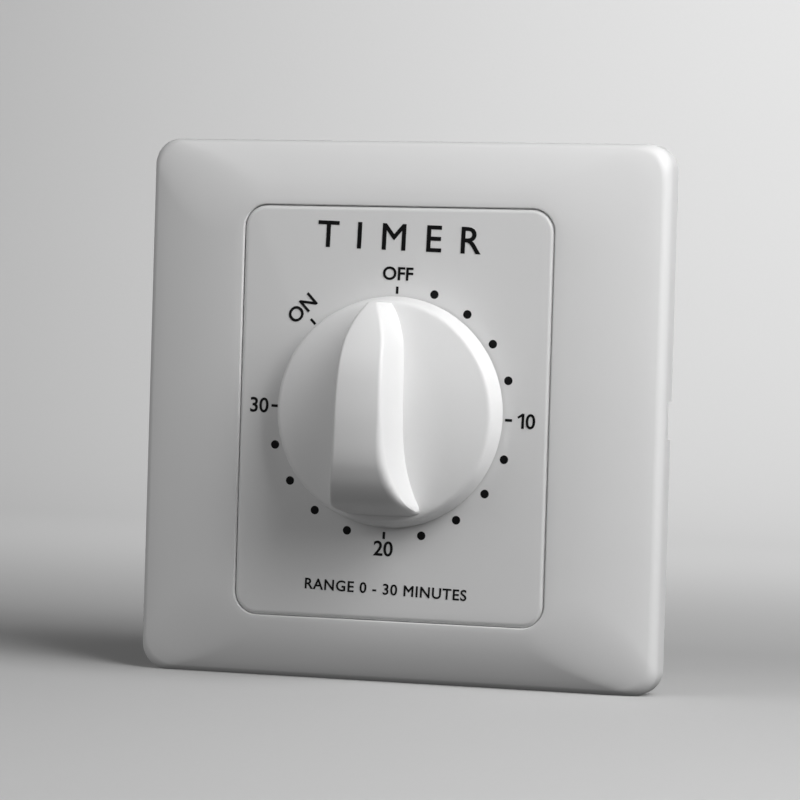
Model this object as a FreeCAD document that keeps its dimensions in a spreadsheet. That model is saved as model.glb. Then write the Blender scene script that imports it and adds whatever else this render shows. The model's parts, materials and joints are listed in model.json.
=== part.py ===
import FreeCAD, Part
import Sketcher
import math
import os
import re

from FreeCAD import Placement, Rotation, Vector

# The frame: X to the right, Z up, Y into the wall. The wall's face is Y = 0, with the origin
# midway between the two wall screws, so all that shows from the room lies at negative Y.
# Sizes are in millimetres and degrees. A level is a distance behind the wall's face.

SIZES = {
    # Cover plate
    "plate_size": 86.0,
    "plate_corner": 4.0,
    "side_height": 5.1,
    "face_height": 8.7,
    "edge_round": 1.6,
    "band_swell": 0.45,
    "cover_wall": 2.0,
    "opening_width": 51.5,
    "opening_height": 65.7,
    "opening_corner": 3.8,
    "opening_edge": 0.5,
    "lip_wall": 1.4,
    "lip_reach": 1.2,
    "notch_width": 6.0,
    "notch_depth": 2.0,
    "catch_width": 7.4,
    "catch_reach": 1.1,
    "catch_height": 1.0,
    "catch_level": 0.6,
    "catch_offset": 20.0,
    # Mounting frame
    "frame_gap": 0.5,
    "frame_thick": 2.5,
    "frame_corner": 2.5,
    "rim_height": 3.8,
    "rim_wall": 1.6,
    "screw_pitch": 60.3,
    "slot_width": 4.2,
    "slot_length": 6.5,
    # Panel
    "panel_gap": 0.3,
    "panel_thick": 2.2,
    "panel_edge": 0.8,
    "panel_rim": 1.6,
    "panel_rim_depth": 1.0,
    "panel_boss": 3.4,
    "panel_hole": 3.6,
    "panel_screw_offset": 10.5,
    "panel_screw_head": 2.8,
    # Rear housing
    "housing_width": 51.0,
    "housing_height": 57.0,
    "housing_wall": 1.6,
    "housing_corner": 2.0,
    "housing_depth": 28.4,
    "housing_gap": 0.3,
    "flange_thick": 1.5,
    "flange_reach": 5.4,
    "flange_width": 44.0,
    "flange_screw_offset": 17.0,
    "flange_screw_inset": 2.7,
    "frame_boss": 2.3,
    "frame_boss_length": 5.0,
    "housing_boss": 3.0,
    "housing_boss_length": 9.0,
    "side_boss_level": 14.0,
    "foot_boss_offset": 12.0,
    "back_boss": 2.6,
    "back_boss_gap": 2.2,
    # Contact base, which closes the back
    "base_thick": 1.6,
    "block_width": 34.0,
    "block_gap": 0.2,
    "pocket_offset": 11.0,
    "pocket_width": 9.0,
    "pocket_drop": 11.9,
    "pocket_wall": 2.0,
    "pocket_height": 10.2,
    "pocket_floor": 2.5,
    "wire_notch_width": 6.0,
    "wire_notch_depth": 5.4,
    # Movement plates
    "front_plate_level": 3.4,
    "movement_thick": 1.2,
    "movement_spacing": 14.0,
    "movement_gap": 0.3,
    "movement_corner": 3.0,
    "pillar_inset": 3.1,
    "pillar_round": 2.4,
    "pillar_tenon_round": 1.2,
    # Fits
    "fit_gap": 0.03,
    "running_gap": 0.05,
    "clear_gap": 0.4,
    # Knob
    "knob_gap": 0.4,
    "knob_round": 18.25,
    "knob_face_round": 17.75,
    "knob_side": 3.8,
    "knob_edge": 1.0,
    "knob_dome": 7.2,
    "knob_wall": 1.8,
    "knob_hub": 4.8,
    "blade_height": 18.0,
    "blade_tip": 17.15,
    "blade_tail": 14.4,
    "tail_bulge": 1.5,
    "blade_waist": 3.9,
    "blade_draft": 0.1,
    "blade_crest_round": 0.7,
    # Main arbor and what turns with it
    "arbor_round": 3.0,
    "arbor_flat": 2.2,
    "arbor_in_knob": 11.5,
    "arbor_tail": 24.0,
    "clip_thick": 0.5,
    "clip_length": 8.0,
    "clip_width": 3.6,
    "clip_height": 1.35,
    "bush_wall": 1.5,
    "bush_flange": 1.0,
    "bush_flange_thick": 1.0,
    "bush_tail": 0.4,
    "collar_wall": 1.0,
    "hub_wall": 1.5,
    "hub_length": 1.7,
    "spigot_wall": 0.8,
    "spacer_wall": 0.8,
    "ring_wall": 1.9,
    "ring_thick": 0.6,
    "ring_groove": 0.5,
    "cam_round": 8.2,
    "cam_thick": 4.0,
    "cam_level": 15.0,
    "cam_notch": 1.5,
    "cam_detent": 0.5,
    "stop_thick": 1.2,
    "stop_hub": 6.0,
    "stop_pin_round": 1.1,
    "stop_pin_orbit": 9.9,
    "stop_touch": 0.1,
    "turn_back": 45.0,
    "turn_on": 270.0,
    # Mainspring
    "spring_width": 5.0,
    "spring_thick": 0.4,
    "spring_turns": 5.0,
    "spring_outer": 11.6,
    "spring_level": 0.9,
    "spring_post_round": 1.2,
    "spring_post_orbit": 14.9,
    # Wheel train
    "great_module": 0.42,
    "great_teeth": 60,
    "great_thick": 1.0,
    "great_level": 4.1,
    "intermediate_leaves": 10,
    "second_module": 0.34,
    "second_teeth": 60,
    "second_thick": 0.7,
    "second_level": 7.0,
    "third_leaves": 8,
    "third_module": 0.3,
    "third_teeth": 56,
    "third_thick": 0.6,
    "third_level": 9.4,
    "escape_leaves": 8,
    "escape_teeth": 16,
    "escape_round": 5.0,
    "escape_thick": 0.6,
    "escape_level": 6.2,
    "intermediate_bearing": 225.0,
    "third_bearing": -25.0,
    "escape_bearing": 15.0,
    "pallet_bearing": 30.0,
    "pinion_length": 1.8,
    "arbor_thin": 0.8,
    "arbor_stout": 1.25,
    "pivot_round": 0.5,
    "stout_pivot_round": 0.8,
    "end_shake": 0.2,
    "seat_wall": 0.7,
    "seat_length": 0.8,
    "clutch_round": 3.0,
    "clutch_thick": 0.75,
    "clutch_spring_thick": 0.25,
    "clutch_spring_rise": 0.4,
    "clutch_collar_wall": 1.2,
    "clutch_collar_length": 0.7,
    "lightening_round": 2.2,
    "pallet_reach": 7.2,
    "pallet_pin_round": 0.25,
    "pallet_pin_angle": 28.1,
    "pallet_pin_gap": 0.06,
    "pallet_thick": 0.8,
    "pallet_arm": 0.7,
    "pallet_level": 7.3,
    "pallet_hub": 1.7,
    "balance_length": 12.0,
    "balance_width": 2.4,
    "balance_thick": 1.4,
    "balance_weight_round": 1.5,
    "balance_weight_thick": 1.2,
    "balance_level": 8.6,
    # Contacts and terminals
    "strip_thick": 1.0,
    "strip_width": 6.0,
    "leaf_width": 3.6,
    "leaf_thick": 0.35,
    "moving_level": 9.6,
    "contact_gap": 1.2,
    "contact_offset": 6.0,
    "contact_round": 1.7,
    "contact_thick": 0.8,
    "leaf_overhang": 2.6,
    "rivet_round": 0.9,
    "rivet_head": 1.6,
    "rivet_head_thick": 0.6,
    "terminal_screw_round": 1.9,
    "terminal_screw_length": 5.4,
    "terminal_pad": 9.0,
    "terminal_head_round": 3.4,
    "terminal_head_thick": 2.2,
    "terminal_washer_size": 7.6,
    "terminal_washer_thick": 1.0,
    "terminal_rise": 4.6,
    "wire_room": 1.2,
    # Small screws
    "flange_screw_length": 6.0,
    "movement_screw_length": 7.0,
    "pillar_screw_length": 5.0,
    "back_screw_length": 9.0,
    "screw_round": 1.45,
    "screw_head_round": 2.4,
    "screw_head_thick": 1.2,
    "driver_slot": 0.7,
    "driver_depth": 0.6,
}

DERIVED = {
    "frame_size": "plate_size - 2 * cover_wall - 2 * frame_gap",
    "panel_width": "opening_width - 2 * panel_gap",
    "panel_height": "opening_height - 2 * panel_gap",
    "panel_corner": "opening_corner - panel_gap",
    "panel_back": "panel_thick - face_height",
    "housing_front": "-frame_thick - flange_thick",
    "rim_inner": "housing_height + 2 * flange_reach + 2 * clear_gap",
    "inner_width": "housing_width - 2 * housing_wall",
    "inner_height": "housing_height - 2 * housing_wall",
    "movement_width": "inner_width - 2 * movement_gap",
    "movement_height": "inner_height - 2 * movement_gap",
    "pillar_offset_x": "movement_width / 2 - pillar_inset",
    "pillar_offset_z": "movement_height / 2 - pillar_inset",
    "flange_screw_z": "housing_height / 2 + flange_screw_inset",
    "back_face": "housing_depth + base_thick",
    "panel_seat": "screw_head_thick + 0.1 - face_height",
    "front_plate_back": "movement_thick - front_plate_level",
    "rear_plate_front": "front_plate_back + movement_spacing",
    "rear_plate_back": "rear_plate_front + movement_thick",
    "back_boss_length": "housing_depth - rear_plate_back - screw_head_thick - back_boss_gap",
    "side_boss_x": "inner_width / 2 - housing_boss + 0.1",
    "foot_boss_z": "housing_boss - inner_height / 2 - 0.1",
    "back_boss_x": "inner_width / 2 - back_boss + 0.2",
    "back_boss_z": "inner_height / 2 - back_boss + 0.2",
    "knob_back": "-face_height - knob_gap",
    "arbor_front": "knob_back - arbor_in_knob",
    "arbor_bore": "arbor_round + fit_gap",
    "bush_bore": "arbor_round + running_gap",
    "bush_round": "arbor_round + bush_wall",
    "spring_start": "front_plate_back + spring_level",
    "great_back": "great_level + great_thick",
    "hub_back": "great_back + hub_length",
    "bush_rear_front": "rear_plate_front - bush_flange_thick",
    "spacer_back": "bush_rear_front - end_shake",
    "ring_front": "rear_plate_back + bush_tail + end_shake",
    "cam_back": "cam_level + cam_thick",
    "stop_level": "cam_back + 0.6",
    "intermediate_reach": "great_module * (great_teeth + intermediate_leaves) / 2",
    "intermediate_x": "intermediate_reach * cos(intermediate_bearing)",
    "intermediate_z": "intermediate_reach * sin(intermediate_bearing)",
    "third_reach": "second_module * (second_teeth + third_leaves) / 2",
    "third_x": "intermediate_x + third_reach * cos(third_bearing)",
    "third_z": "intermediate_z + third_reach * sin(third_bearing)",
    "escape_reach": "third_module * (third_teeth + escape_leaves) / 2",
    "escape_x": "third_x + escape_reach * cos(escape_bearing)",
    "escape_z": "third_z + escape_reach * sin(escape_bearing)",
    "pallet_x": "escape_x + pallet_reach * cos(pallet_bearing)",
    "pallet_z": "escape_z + pallet_reach * sin(pallet_bearing)",
    "pin_orbit": "escape_round + pallet_pin_round + pallet_pin_gap",
    "pin_back": "pallet_reach - pin_orbit * cos(pallet_pin_angle)",
    "pin_side": "pin_orbit * sin(pallet_pin_angle)",
    "pin_reach": "sqrt(pin_back ^ 2 + pin_side ^ 2)",
    "pin_bearing": "asin(pin_side / pin_reach) / 1 deg",
    "leaf_front": "cam_level + cam_thick / 2 - leaf_width / 2",
    "block_front": "leaf_front + leaf_width + block_gap",
    "block_depth": "housing_depth - block_front",
    "pocket_foot": "inner_height / 2 - pocket_drop",
    "block_foot": "pocket_foot - pocket_wall",
    "terminal_level": "pocket_foot + terminal_rise",
    "pocket_bottom": "block_front + pocket_floor",
    "strip_back": "pocket_bottom + strip_thick",
    "fixed_level": "moving_level + leaf_thick + 2 * contact_thick + contact_gap",
    "slot_top": "max(pocket_foot; fixed_level + leaf_thick + strip_thick) + clear_gap",
}

WORD = re.compile(r"[a-z]+(?:_[a-z]+)*")
NAMES = set(SIZES) | set(DERIVED)

doc = FreeCAD.newDocument("timer_switch")
sheet = doc.addObject("Spreadsheet::Sheet", "Sizes")
for row, (alias, amount) in enumerate({**SIZES, **DERIVED}.items(), start=1):
    sheet.set(f"A{row}", alias)
    sheet.set(f"B{row}", f"={amount}" if isinstance(amount, str) else str(amount))
    sheet.setAlias(f"B{row}", alias)
workings = doc.addObject("Spreadsheet::Sheet", "Workings")
doc.recompute()

nodes = []
worked = {}


def formula(text):
    """The expression with each size's name pointing at its cell."""
    return WORD.sub(lambda m: f"Sizes.{m.group()}" if m.group() in NAMES else m.group(), str(text))


def number(text):
    """The number that an expression on the sizes comes to, worked out in a cell of its own."""
    key = str(text)
    if key not in worked:
        cell = f"A{len(worked) + 1}"
        workings.set(cell, f"={formula(key)}")
        workings.recompute()
        worked[key] = float(workings.get(cell))
    return worked[key]


def bind(thing, bindings):
    """Ties each property of a thing to its expression on the sizes."""
    for prop, text in bindings.items():
        thing.setExpression(prop, formula(text))


def node(label, thing):
    """Marks a finished sub-part, whose label names its file."""
    thing.Label = label
    nodes.append(thing)
    return thing


# Primitives and booleans


def box(name, low, lengths):
    """A box from its low corner and its lengths along X, Y and Z."""
    thing = doc.addObject("Part::Box", name)
    bind(thing, dict(zip(("Length", "Width", "Height"), lengths)))
    bind(thing, {f"Placement.Base.{axis}": text for axis, text in zip("xyz", low)})
    return thing


def centred_box(name, centre, level, lengths):
    """A box centred on an (x, z) place, its front face at a level."""
    low = (f"{centre[0]} - ({lengths[0]}) / 2", level, f"{centre[1]} - ({lengths[2]}) / 2")
    return box(name, low, lengths)


def rod(name, centre, level, length, radius):
    """A cylinder along Y from a level, centred on an (x, z) place."""
    thing = doc.addObject("Part::Cylinder", name)
    thing.Placement = Placement(Vector(), Rotation(Vector(1, 0, 0), -90))
    bind(thing, {"Radius": radius, "Height": length})
    bind(thing, {"Placement.Base.x": centre[0], "Placement.Base.y": level, "Placement.Base.z": centre[1]})
    return thing


def fuse(name, *parts):
    """One solid from several that touch or overlap."""
    thing = doc.addObject("Part::MultiFuse", name)
    thing.Shapes = list(parts)
    thing.Refine = True
    return thing


def cut(name, base, *tools):
    """A solid less one or more tools."""
    thing = doc.addObject("Part::Cut", name)
    thing.Base = base
    thing.Tool = tools[0] if len(tools) == 1 else fuse(name + "_tools", *tools)
    thing.Refine = True
    return thing


def group(label, parts):
    """A node of several like solids."""
    thing = doc.addObject("Part::Compound", label)
    thing.Links = parts
    return node(label, thing)


def tube(name, centre, level, length, radius, bore):
    """A ring or sleeve along Y."""
    inner = rod(name + "_bore", centre, f"{level} - 1", f"{length} + 2", bore)
    return cut(name, rod(name + "_wall", centre, level, length, radius), inner)


# Sketch features


def new_body(label):
    """A body for one sub-part."""
    return node(label, doc.addObject("PartDesign::Body", label))


def sketch_on(body, name, level, role="XZ_Plane"):
    """A sketch on a plane of the body's origin, set at a level behind the wall's face."""
    sketch = body.newObject("Sketcher::SketchObject", name)
    plane = next(item for item in body.Origin.OriginFeatures if item.Role == role)
    sketch.AttachmentSupport = [(plane, "")]
    sketch.MapMode = "FlatFace"
    if level:
        bind(sketch, {"AttachmentOffset.Base.z": f"-({level})"})
    return sketch


def measure(sketch, kind, first, first_end, second, second_end, text):
    """A distance between two points of a sketch, bound to an expression."""
    ends = (first, first_end, second, second_end)
    index = sketch.addConstraint(Sketcher.Constraint(kind, *ends, number(text)))
    sketch.setExpression(f"Constraints[{index}]", formula(text))


def rectangle(sketch, centre, width, height):
    """A rectangle with its sides level, centred on an (x, z) place."""
    left, right = f"{centre[0]} - ({width}) / 2", f"{centre[0]} + ({width}) / 2"
    foot, top = f"{centre[1]} - ({height}) / 2", f"{centre[1]} + ({height}) / 2"
    xs = [number(left), number(right), number(right), number(left)]
    zs = [number(foot), number(foot), number(top), number(top)]
    corners = [Vector(x, z, 0) for x, z in zip(xs, zs)]
    first = sketch.GeometryCount
    for i in range(4):
        sketch.addGeometry(Part.LineSegment(corners[i], corners[(i + 1) % 4]), False)
    for i in range(4):
        sketch.addConstraint(Sketcher.Constraint("Coincident", first + i, 2, first + (i + 1) % 4, 1))
    for i, way in enumerate(("Horizontal", "Vertical", "Horizontal", "Vertical")):
        sketch.addConstraint(Sketcher.Constraint(way, first + i))
    measure(sketch, "DistanceX", -1, 1, first, 1, left)
    measure(sketch, "DistanceY", -1, 1, first, 1, foot)
    measure(sketch, "DistanceX", -1, 1, first + 2, 1, right)
    measure(sketch, "DistanceY", -1, 1, first + 2, 1, top)


def rounded_rectangle(sketch, width, height, radius):
    """A rectangle centred on the origin, its corners rounded alike."""
    half_w, half_h, r = number(width) / 2, number(height) / 2, number(radius)
    first = sketch.GeometryCount
    signs = ((1, -1, -90), (1, 1, 0), (-1, 1, 90), (-1, -1, 180))
    for x, z, start in [(half_w * i, half_h * j, turn) for i, j, turn in signs]:
        centre = Vector(x - math.copysign(r, x), z - math.copysign(r, z), 0)
        arc = Part.Circle(centre, Vector(0, 0, 1), r)
        sketch.addGeometry(Part.ArcOfCircle(arc, math.radians(start), math.radians(start + 90)), False)
    ends = [sketch.Geometry[first + i] for i in range(4)]
    for i in range(4):
        sketch.addGeometry(Part.LineSegment(ends[i].EndPoint, ends[(i + 1) % 4].StartPoint), False)
    for i in range(4):
        sketch.addConstraint(Sketcher.Constraint("Tangent", first + i, 2, first + 4 + i, 1))
        sketch.addConstraint(Sketcher.Constraint("Tangent", first + 4 + i, 2, first + (i + 1) % 4, 1))
    for i in range(1, 4):
        sketch.addConstraint(Sketcher.Constraint("Equal", first, first + i))
    index = sketch.addConstraint(Sketcher.Constraint("Radius", first, r))
    sketch.setExpression(f"Constraints[{index}]", formula(radius))
    sketch.addConstraint(Sketcher.Constraint("Symmetric", first + 4, 1, first + 4, 2, -1))
    sketch.addConstraint(Sketcher.Constraint("Symmetric", first + 5, 1, first + 5, 2, -2))
    measure(sketch, "DistanceX", first + 6, 1, first + 4, 1, width)
    measure(sketch, "DistanceY", first + 7, 1, first + 5, 1, height)


def disc(sketch, centre, radius):
    """A circle centred on an (x, z) place."""
    x, z, r = number(centre[0]), number(centre[1]), number(radius)
    index = sketch.addGeometry(Part.Circle(Vector(x, z, 0), Vector(0, 0, 1), r), False)
    held = sketch.addConstraint(Sketcher.Constraint("Radius", index, r))
    sketch.setExpression(f"Constraints[{held}]", formula(radius))
    measure(sketch, "DistanceX", -1, 1, index, 3, centre[0])
    measure(sketch, "DistanceY", -1, 1, index, 3, centre[1])


def pad(body, name, sketch, length, back=True):
    """Adds a sketch's area along Y, to the back or to the front."""
    feature = body.newObject("PartDesign::Pad", name)
    feature.Profile = sketch
    feature.Reversed = back
    bind(feature, {"Length": length})
    sketch.Visibility = False
    return feature


def pocket(body, name, sketch, length, back=True):
    """Removes a sketch's area along Y, to the back or to the front."""
    feature = body.newObject("PartDesign::Pocket", name)
    feature.Profile = sketch
    feature.Reversed = not back
    bind(feature, {"Length": length})
    sketch.Visibility = False
    return feature


def loft(body, name, sketches, cutting=False):
    """A smooth skin through several sketches, added or removed."""
    kind = "PartDesign::SubtractiveLoft" if cutting else "PartDesign::AdditiveLoft"
    feature = body.newObject(kind, name)
    feature.Profile = sketches[0]
    feature.Sections = sketches[1:]
    feature.Ruled = False
    return feature


def round_edges(body, name, radius, chosen):
    """Rounds the edges of the body so far that the test chooses."""
    doc.recompute()
    base = body.Tip
    edges = [f"Edge{i}" for i, edge in enumerate(base.Shape.Edges, start=1) if chosen(edge)]
    feature = body.newObject("PartDesign::Fillet", name)
    feature.Base = (base, edges)
    bind(feature, {"Radius": radius})
    return feature


def lies_at(level):
    """A test for edges that lie wholly at a level."""
    y = number(level)

    def chosen(edge):
        return all(abs(v - y) < 1e-4 for v in (edge.BoundBox.YMin, edge.BoundBox.YMax))

    return chosen


def inside(test, half_width, half_height):
    """A test for edges that pass another and lie within a rectangle about the origin."""
    w, h = number(half_width), number(half_height)

    def chosen(edge):
        frame = edge.BoundBox
        return test(edge) and max(-frame.XMin, frame.XMax) < w and max(-frame.ZMin, frame.ZMax) < h

    return chosen


def runs_along_crest(edge):
    """Whether an edge runs the pointer's length near its full height."""
    frame = edge.BoundBox
    return frame.ZLength > number("knob_round") and -frame.YMin > number("face_height + blade_height - 2")


# The plate and what shows from the room


def cover_section(body, name, share):
    """A slice of the swelling face, from the outer edge at share 0 to the opening at share 1."""
    swell = f"band_swell * 4 * {share} * (1 - {share})"
    rise = f"side_height + (face_height - side_height) * {share} + {swell}"
    sketch = sketch_on(body, name, f"-({rise})")
    rounded_rectangle(
        sketch,
        f"plate_size - (plate_size - opening_width) * {share}",
        f"plate_size - (plate_size - opening_height) * {share}",
        f"plate_corner + (opening_corner - plate_corner) * {share}",
    )
    return sketch


def hollow_section(body, name, share):
    """The same slice, set in by the wall, for the hollow behind the face."""
    swell = f"band_swell * 4 * {share} * (1 - {share})"
    rise = f"side_height + (face_height - side_height) * {share} + {swell} - cover_wall"
    sketch = sketch_on(body, name, f"-({rise})")
    wide, tall = "(opening_width + 2 * lip_wall)", "(opening_height + 2 * lip_wall)"
    rounded_rectangle(
        sketch,
        f"(plate_size - 2 * cover_wall) * (1 - {share}) + {wide} * {share}",
        f"(plate_size - 2 * cover_wall) * (1 - {share}) + {tall} * {share}",
        f"(plate_corner - cover_wall + 0.5) * (1 - {share}) + (opening_corner + lip_wall) * {share}",
    )
    return sketch


def make_cover_plate():
    """The outer plate: straight sides, a face that swells up to the opening, and a return lip."""
    body = new_body("cover_plate")
    sides = sketch_on(body, "plate_sides", "0")
    rounded_rectangle(sides, "plate_size", "plate_size", "plate_corner")
    pad(body, "plate_side_pad", sides, "side_height", back=False)
    slices = [cover_section(body, f"plate_slice_{i}", share) for i, share in enumerate((0, 0.5, 1))]
    loft(body, "plate_face", slices)
    body.Tip = body.Group[-1]
    front = lies_at("-side_height")
    round_edges(body, "plate_edge", "edge_round", front)
    hollow = sketch_on(body, "plate_hollow", "0")
    wall_width = "plate_size - 2 * cover_wall"
    rounded_rectangle(hollow, wall_width, wall_width, "plate_corner - cover_wall + 0.5")
    pocket(body, "plate_hollow_pocket", hollow, "side_height - cover_wall", back=False)
    slices = [hollow_section(body, f"hollow_slice_{i}", share) for i, share in enumerate((0, 0.5, 1))]
    loft(body, "plate_hollow_face", slices, cutting=True)
    lip = sketch_on(body, "plate_lip", "cover_wall / 2 - face_height")
    rounded_rectangle(
        lip,
        "opening_width + 2 * lip_wall",
        "opening_height + 2 * lip_wall",
        "opening_corner + lip_wall",
    )
    pad(body, "plate_lip_pad", lip, "cover_wall / 2 + lip_reach")
    opening = sketch_on(body, "plate_opening", "-face_height - 1")
    rounded_rectangle(opening, "opening_width", "opening_height", "opening_corner")
    pocket(body, "plate_opening_pocket", opening, "face_height + 1")
    edge = inside(lies_at("-face_height"), "opening_width / 2 + 0.1", "opening_height / 2 + 0.1")
    round_edges(body, "plate_opening_edge", "opening_edge", edge)
    catches = sketch_on(body, "plate_catches", "-catch_level - catch_height")
    depth = "catch_reach + cover_wall / 2"
    for side in (-1, 1):
        for end in (-1, 1):
            place = (
                f"{side} * catch_offset",
                f"{end} * (plate_size / 2 - cover_wall / 2 - ({depth}) / 2)",
            )
            rectangle(catches, place, "catch_width", depth)
    pad(body, "plate_catch_pad", catches, "catch_height")
    notch = sketch_on(body, "plate_notch", "-notch_depth")
    rectangle(notch, ("plate_size / 2", "0"), "3 * cover_wall", "notch_width")
    pocket(body, "plate_notch_pocket", notch, "notch_depth + 1")


def make_mounting_frame():
    """The plate against the wall: a rim, a window for the housing, and slots for the wall screws."""
    body = new_body("mounting_frame")
    plate = sketch_on(body, "frame_plate", "-frame_thick")
    rounded_rectangle(plate, "frame_size", "frame_size", "frame_corner")
    pad(body, "frame_plate_pad", plate, "frame_thick")
    rim = sketch_on(body, "frame_rim", "-frame_thick")
    rounded_rectangle(rim, "rim_inner + 2 * rim_wall", "rim_inner + 2 * rim_wall", "frame_corner")
    rounded_rectangle(rim, "rim_inner", "rim_inner", "frame_corner - rim_wall")
    pad(body, "frame_rim_pad", rim, "rim_height - frame_thick", back=False)
    bosses = sketch_on(body, "frame_bosses", "0")
    for side in (-1, 1):
        for end in (-1, 1):
            disc(bosses, (f"{side} * flange_screw_offset", f"{end} * flange_screw_z"), "frame_boss")
    pad(body, "frame_boss_pad", bosses, "frame_boss_length")
    window = sketch_on(body, "frame_window", "-frame_thick - 1")
    rounded_rectangle(
        window,
        "housing_width + 2 * housing_gap",
        "housing_height + 2 * housing_gap",
        "housing_corner + housing_gap",
    )
    pocket(body, "frame_window_pocket", window, "frame_thick + frame_boss_length + 2")
    holes = sketch_on(body, "frame_screw_holes", "-frame_thick - 1")
    for side in (-1, 1):
        for end in (-1, 1):
            place = (f"{side} * flange_screw_offset", f"{end} * flange_screw_z")
            disc(holes, place, "screw_round + fit_gap")
    pocket(body, "frame_screw_pocket", holes, "frame_thick + 1 + frame_boss_length - 0.8")
    slots = sketch_on(body, "frame_slots", "-frame_thick - 1")
    for side in (-1, 1):
        middle = f"{side} * screw_pitch / 2"
        rectangle(slots, (middle, "0"), "slot_length - slot_width", "slot_width")
    pocket(body, "frame_slot_pocket", slots, "frame_thick + 2")
    for end in (-1, 1):
        ends = sketch_on(body, f"frame_slot_ends_{end + 1}", "-frame_thick - 1")
        for side in (-1, 1):
            middle = f"{side} * screw_pitch / 2 + {end} * (slot_length - slot_width) / 2"
            disc(ends, (middle, "0"), "slot_width / 2")
        pocket(body, f"frame_slot_end_pocket_{end + 1}", ends, "frame_thick + 2")
    windows = sketch_on(body, "frame_catch_windows", "-catch_level - catch_height - clear_gap / 2")
    for side in (-1, 1):
        for end in (-1, 1):
            place = (f"{side} * catch_offset", f"{end} * (frame_size / 2 - rim_wall / 2)")
            rectangle(windows, place, "catch_width + clear_gap", "rim_wall + 2 * clear_gap")
    pocket(body, "frame_catch_pocket", windows, "catch_height + clear_gap")


def make_centre_panel():
    """The flat panel behind the knob, with a rim behind its edge and bosses for its two screws."""
    body = new_body("centre_panel")
    face = sketch_on(body, "panel_face", "-face_height")
    rounded_rectangle(face, "panel_width", "panel_height", "panel_corner")
    pad(body, "panel_face_pad", face, "panel_thick")
    round_edges(body, "panel_edge", "panel_edge", lies_at("-face_height"))
    rim = sketch_on(body, "panel_rim", "panel_back")
    rounded_rectangle(rim, "panel_width", "panel_height", "panel_corner")
    rounded_rectangle(
        rim,
        "panel_width - 2 * panel_rim",
        "panel_height - 2 * panel_rim",
        "panel_corner - panel_rim",
    )
    pad(body, "panel_rim_pad", rim, "panel_rim_depth")
    bosses = sketch_on(body, "panel_bosses", "panel_back")
    for side in (-1, 1):
        disc(bosses, (f"{side} * panel_screw_offset", "0"), "panel_boss")
    pad(body, "panel_boss_pad", bosses, "-front_plate_level - panel_back")
    bore = sketch_on(body, "panel_bore", "-face_height - 1")
    disc(bore, ("0", "0"), "panel_hole")
    for side in (-1, 1):
        disc(bore, (f"{side} * panel_screw_offset", "0"), "screw_round + fit_gap")
    pocket(body, "panel_bore_pocket", bore, "face_height + 1")
    seats = sketch_on(body, "panel_screw_seats", "-face_height - 1")
    for side in (-1, 1):
        disc(seats, (f"{side} * panel_screw_offset", "0"), "panel_screw_head + fit_gap")
    pocket(body, "panel_screw_seat_pocket", seats, "panel_seat + face_height + 1")


# The knob

AXIS = ("0", "0")


def knob_plan(body, name, level, spread):
    """The pointer's plan: a narrow tip, flanks that flare towards the tail, and a rounded tail."""
    sketch = sketch_on(body, name, level)
    tip, tail, waist = number("blade_tip"), number("blade_tail"), number("blade_waist")
    flank = (
        (tip, 0.20),
        (0.95 * tip, 0.35),
        (0.88 * tip, 0.52),
        (0.78 * tip, 0.70),
        (0.67 * tip, 0.84),
        (0.48 * tip, 0.93),
        (0.25 * tip, 0.975),
        (0.0, 1.0),
        (-0.30 * tail, 1.04),
        (-0.51 * tail, 1.11),
        (-0.65 * tail, 1.21),
        (-0.79 * tail, 1.36),
        (-0.92 * tail, 1.55),
        (-tail, 1.72),
    )
    right = [Vector(waist * share + spread, z, 0) for z, share in flank]
    left = [Vector(-p.x, p.y, 0) for p in reversed(right)]
    for points in (right, left):
        curve = Part.BSplineCurve()
        curve.interpolate(points)
        sketch.addGeometry(curve, False)
    end = Vector(0, -tail - number("tail_bulge"), 0)
    sketch.addGeometry(Part.Arc(right[-1], end, left[0]), False)
    sketch.addGeometry(Part.LineSegment(left[-1], right[0]), False)
    return sketch


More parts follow.
